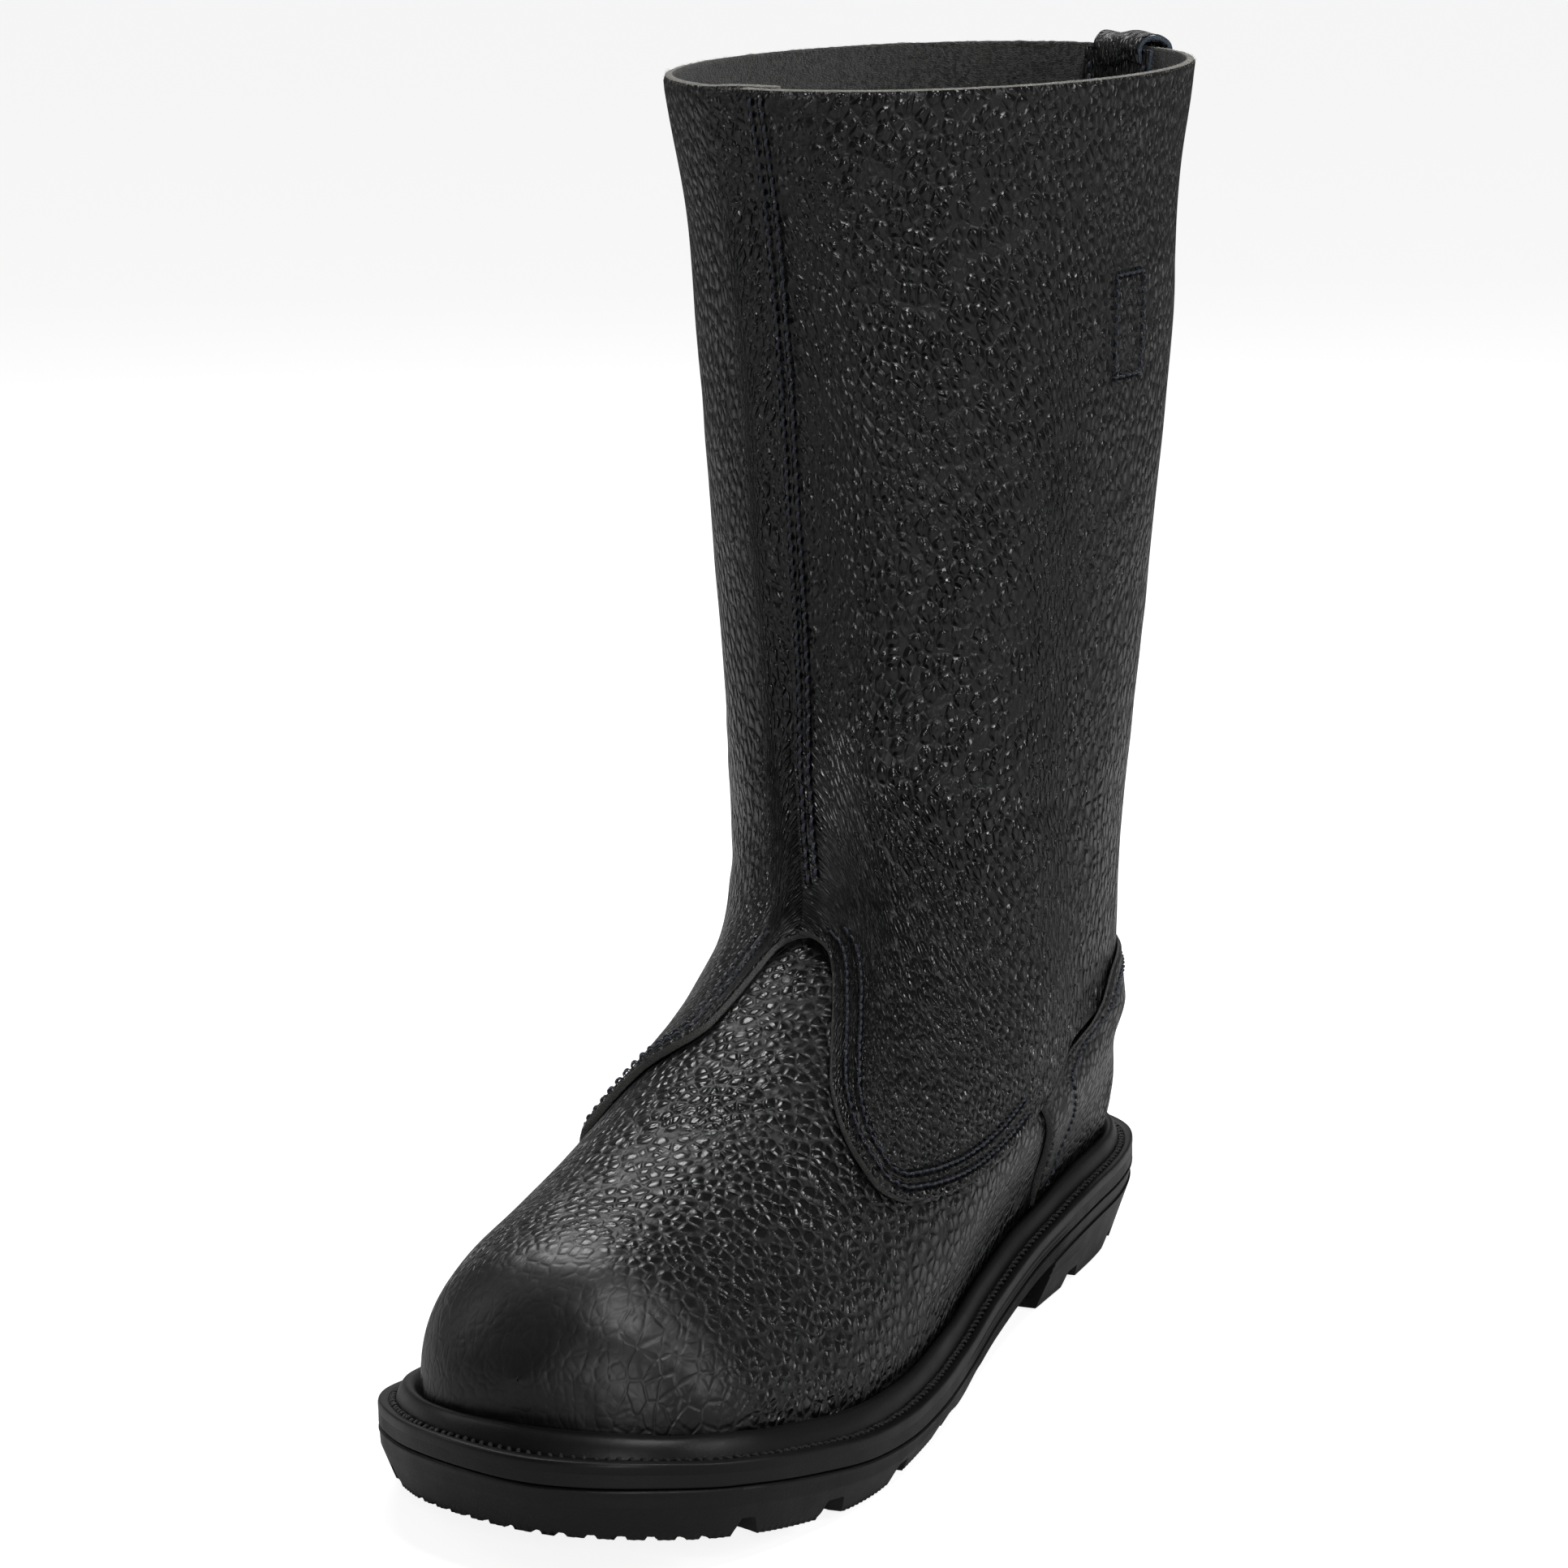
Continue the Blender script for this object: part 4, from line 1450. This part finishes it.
F = [np.array([[2, 1, 0]]) + o, np.array([[0, 1, 3]]) + o, np.array([[1, 2, 3]]) + o, np.array([[2, 0, 3]]) + o]
ob = build("rim_fibres", V, F, ["edge"], [0, 0, 0, 0])
done(ob, "boot", "upper_leather")

# ------------------------------------------------------------------ side pull loops
for side, nm in ((1, "left"), (-1, "right")):
    p0 = side * PC
    h = off(np.array([1.24]), np.array([p0]), -T - 1.5)[0]
    nn = normal(np.array([1.24]), np.array([p0]))[0]
    up = surf(np.array([1.0]), np.array([p0]))[0] - surf(np.array([1.4]), np.array([p0]))[0]
    up /= np.linalg.norm(up)
    tw = np.cross(up, nn)
    tw /= np.linalg.norm(tw)
    loop = np.array([[0, .25], [4, .3], [9, .35], [19, .35], [25.4, .3], [26.9, 0.0], [27.5, -.72], [26.9, -1.45], [25.4, -1.8], [19, -1.8], [9, -1.25], [4, -.8], [0, -.62]])
    Lp = np.concatenate([[0], np.cumsum(np.linalg.norm(np.diff(loop, axis=0), axis=1))])
    tt = np.linspace(0, Lp[-1], 110)
    lc = np.stack([np.interp(tt, Lp, loop[:, j]) for j in (0, 1)], -1)
    for _ in range(4):
        lc[1:-1] = (lc[:-2] + 2 * lc[1:-1] + lc[2:]) / 4
    world = h + lc[:, :1] * up + lc[:, 1:] * nn
    sbp = np.linspace(2.2, 1.30, 40)
    bo = off(sbp, np.full(40, p0), -T - 0.4 - 0.42)
    bi = off(sbp[::-1], np.full(40, p0), -T - 0.4 - 1.28)
    path = np.concatenate([bo, world, bi])
    tg = np.gradient(path, axis=0)
    tg /= np.linalg.norm(tg, axis=1, keepdims=True)
    nr = np.cross(tw, tg)
    th = 0.42
    nx = 16
    xs = np.linspace(-5.5, 5.5, nx)
    V = np.stack([[path + tw * x + nr * sg * th for x in xs] for sg in (1, -1)])
    V = V.reshape(2, nx, len(path), 3)
    idx = np.arange(V[..., 0].size).reshape(2, nx, len(path))
    a, b2 = idx[0], idx[1]
    qd = lambda i: np.stack([i[:-1, :-1], i[:-1, 1:], i[1:, 1:], i[1:, :-1]], -1).reshape(-1, 4)
    lo = np.concatenate([a[0], a[1:, -1], a[-1, -2::-1], a[-2:0:-1, 0]])
    li = np.concatenate([b2[0], b2[1:, -1], b2[-1, -2::-1], b2[-2:0:-1, 0]])
    ob = build(f"visual_{nm}_pull_loop", V.reshape(-1, 3), [qd(a)[:, ::-1], qd(b2), np.stack([lo, np.roll(lo, -1), np.roll(li, -1), li], -1)], ["tape"], [0, 0, 0])
    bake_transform(ob)
    done(ob, None, "tape", f"{nm}_pull_loop", f"{nm}_loop_base")

# ------------------------------------------------------------------ loose insole and board
def inner_ring(R_, N_, k_):
    D = np.maximum.reduce([wall_distance(R_, N_, h, lambda s, p: -6.8 - 2.2 * smooth((s - 11.2) / 1.1)) for h in (0.5, 3, 6, 9)[:k_]])
    D = np.where(D > 60, np.nan, D)
    ok = ~np.isnan(D)
    D = np.interp(np.arange(len(D)), np.arange(len(D))[ok], D[ok], period=len(D))
    return ring_smooth(ring_smooth(D, 3, np.max), 4)


Ri, Ni = outline(360)
I4, I2 = inner_ring(Ri, Ni, 4) + 1.3, inner_ring(Ri, Ni, 2) + 1.0


def plate(name, ins, z1, z0, mt, slot, node, body):
    def w(tau, y, arc, sd):
        return ins + 0.35 * (2 * tau - 1) ** 4
    N = len(Ri)
    ob = ladder(name, Ri, Ni, w, lambda x, y: zf(y) + z1 + (noise3(np.stack([x, y, 0 * x], -1), 30, 91) - 0.5) * 0.3, lambda x, y, b: zf(y) + z0, 6, 40, [mt, mt], slot, node, sharp=60)
    if body != "boot":
        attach(ob, body)
    return ob


plate("visual_loose_insole", I4, 7.7, 4.05, "foam", "insole_foam", "loose_insole", "insole")
plate("visual_insole_board", I2, 3.55, 1.55, "board", "fibre_board", "insole_board", "boot")

# hard pieces that keep their CAD shape, with worked finishes
for n_, mt in (("shank", "steel"), ("puncture_plate", "steel"), ("cork_filler", "cork"), *[(f"heel_nail_{i}", "steel") for i in range(1, 6)]):
    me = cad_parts[n_].data
    me.materials.clear()
    me.materials.append(M[mt])

# ------------------------------------------------------------------ stage, light, camera
bpy.ops.mesh.primitive_plane_add(size=12, location=(0, 0, -0.0006))
floor = bpy.context.object
floor.name = "floor"
WORLD_LIGHT = 0.10
fm_, nt, bs = new_mat("stage_floor")
g = G(nt)
c = g.mix(g.noise(g.pos(), 0.01, 2.0), (0.50, 0.50, 0.50), (0.52, 0.52, 0.52))
nt.links.new(c, bs.inputs["Base Color"])
bs.inputs["Roughness"].default_value = 0.9
bs.inputs["Specular IOR Level"].default_value = 0.1
lpf = nt.nodes.new("ShaderNodeLightPath")
nt.links.new(g.math("MULTIPLY", lpf.outputs["Is Camera Ray"], 0.86), bs.inputs["Emission Strength"])
bs.inputs["Emission Color"].default_value = (1, 1, 1, 1)
floor.data.materials.append(fm_)

w = bpy.data.worlds.new("studio")
bpy.context.scene.world = w
w.use_nodes = True
wn = w.node_tree
bg = [n for n in wn.nodes if n.type == "BACKGROUND"][0]
bg.inputs[0].default_value = (1, 1, 1, 1)
lpn = wn.nodes.new("ShaderNodeLightPath")
mrn = wn.nodes.new("ShaderNodeMapRange")
wn.links.new(lpn.outputs["Is Camera Ray"], mrn.inputs["Value"])
mrn.inputs["To Min"].default_value = WORLD_LIGHT
mrn.inputs["To Max"].default_value = 0.93
wn.links.new(mrn.outputs[0], bg.inputs[1])

TGT = Vector((-0.0219, -0.06, 0.1277))


def area(name, loc, size, power, target=TGT, col=(1, 1, 1)):
    d = bpy.data.lights.new(name, "AREA")
    d.shape = "RECTANGLE"
    d.size, d.size_y = size
    d.energy = power
    d.color = col
    o = bpy.data.objects.new(name, d)
    bpy.context.scene.collection.objects.link(o)
    o.location = loc
    o.rotation_euler = (Vector(target) - Vector(loc)).to_track_quat("-Z", "Y").to_euler()
    return o


area("top_key", (0.45, -0.3, 1.35), (0.4, 0.4), 8.5)
area("right_tall", (1.3, 0.0, 0.75), (0.25, 0.6), 4.8)
area("front_right", (0.7, -1.45, 0.5), (0.16, 0.4), 5.2)
area("left_tall", (-1.2, -0.3, 0.7), (0.25, 1.0), 1.7)
area("back_top", (-0.45, 0.8, 1.15), (0.9, 0.5), 11)

AZ, EL, ROLL = math.radians(24.007), math.radians(11.892), math.radians(-0.632)
DIST, FPX, TX, TY, TZ = 1271.594, 6536.81, -21.923, -60.0, 127.698
back = Vector((math.sin(AZ) * math.cos(EL), -math.cos(AZ) * math.cos(EL), math.sin(EL)))
rt = Vector((math.cos(AZ), math.sin(AZ), 0))
upv = back.cross(rt)
Rr = rt * math.cos(ROLL) + upv * math.sin(ROLL)
Uu = -rt * math.sin(ROLL) + upv * math.cos(ROLL)
cam_d = bpy.data.cameras.new("camera")
cam_d.sensor_fit = "HORIZONTAL"
cam_d.sensor_width = 36
cam_d.lens = FPX / 1932 * 36
cam_d.clip_start, cam_d.clip_end = 0.05, 50
cam = bpy.data.objects.new("camera", cam_d)
bpy.context.scene.collection.objects.link(cam)
loc = (Vector((TX, TY, TZ)) + back * DIST) / 1000
cam.matrix_world = Matrix(((Rr.x, Uu.x, back.x, loc.x), (Rr.y, Uu.y, back.y, loc.y), (Rr.z, Uu.z, back.z, loc.z), (0, 0, 0, 1)))
bpy.context.scene.camera = cam
bpy.context.scene.view_settings.view_transform = "Standard"
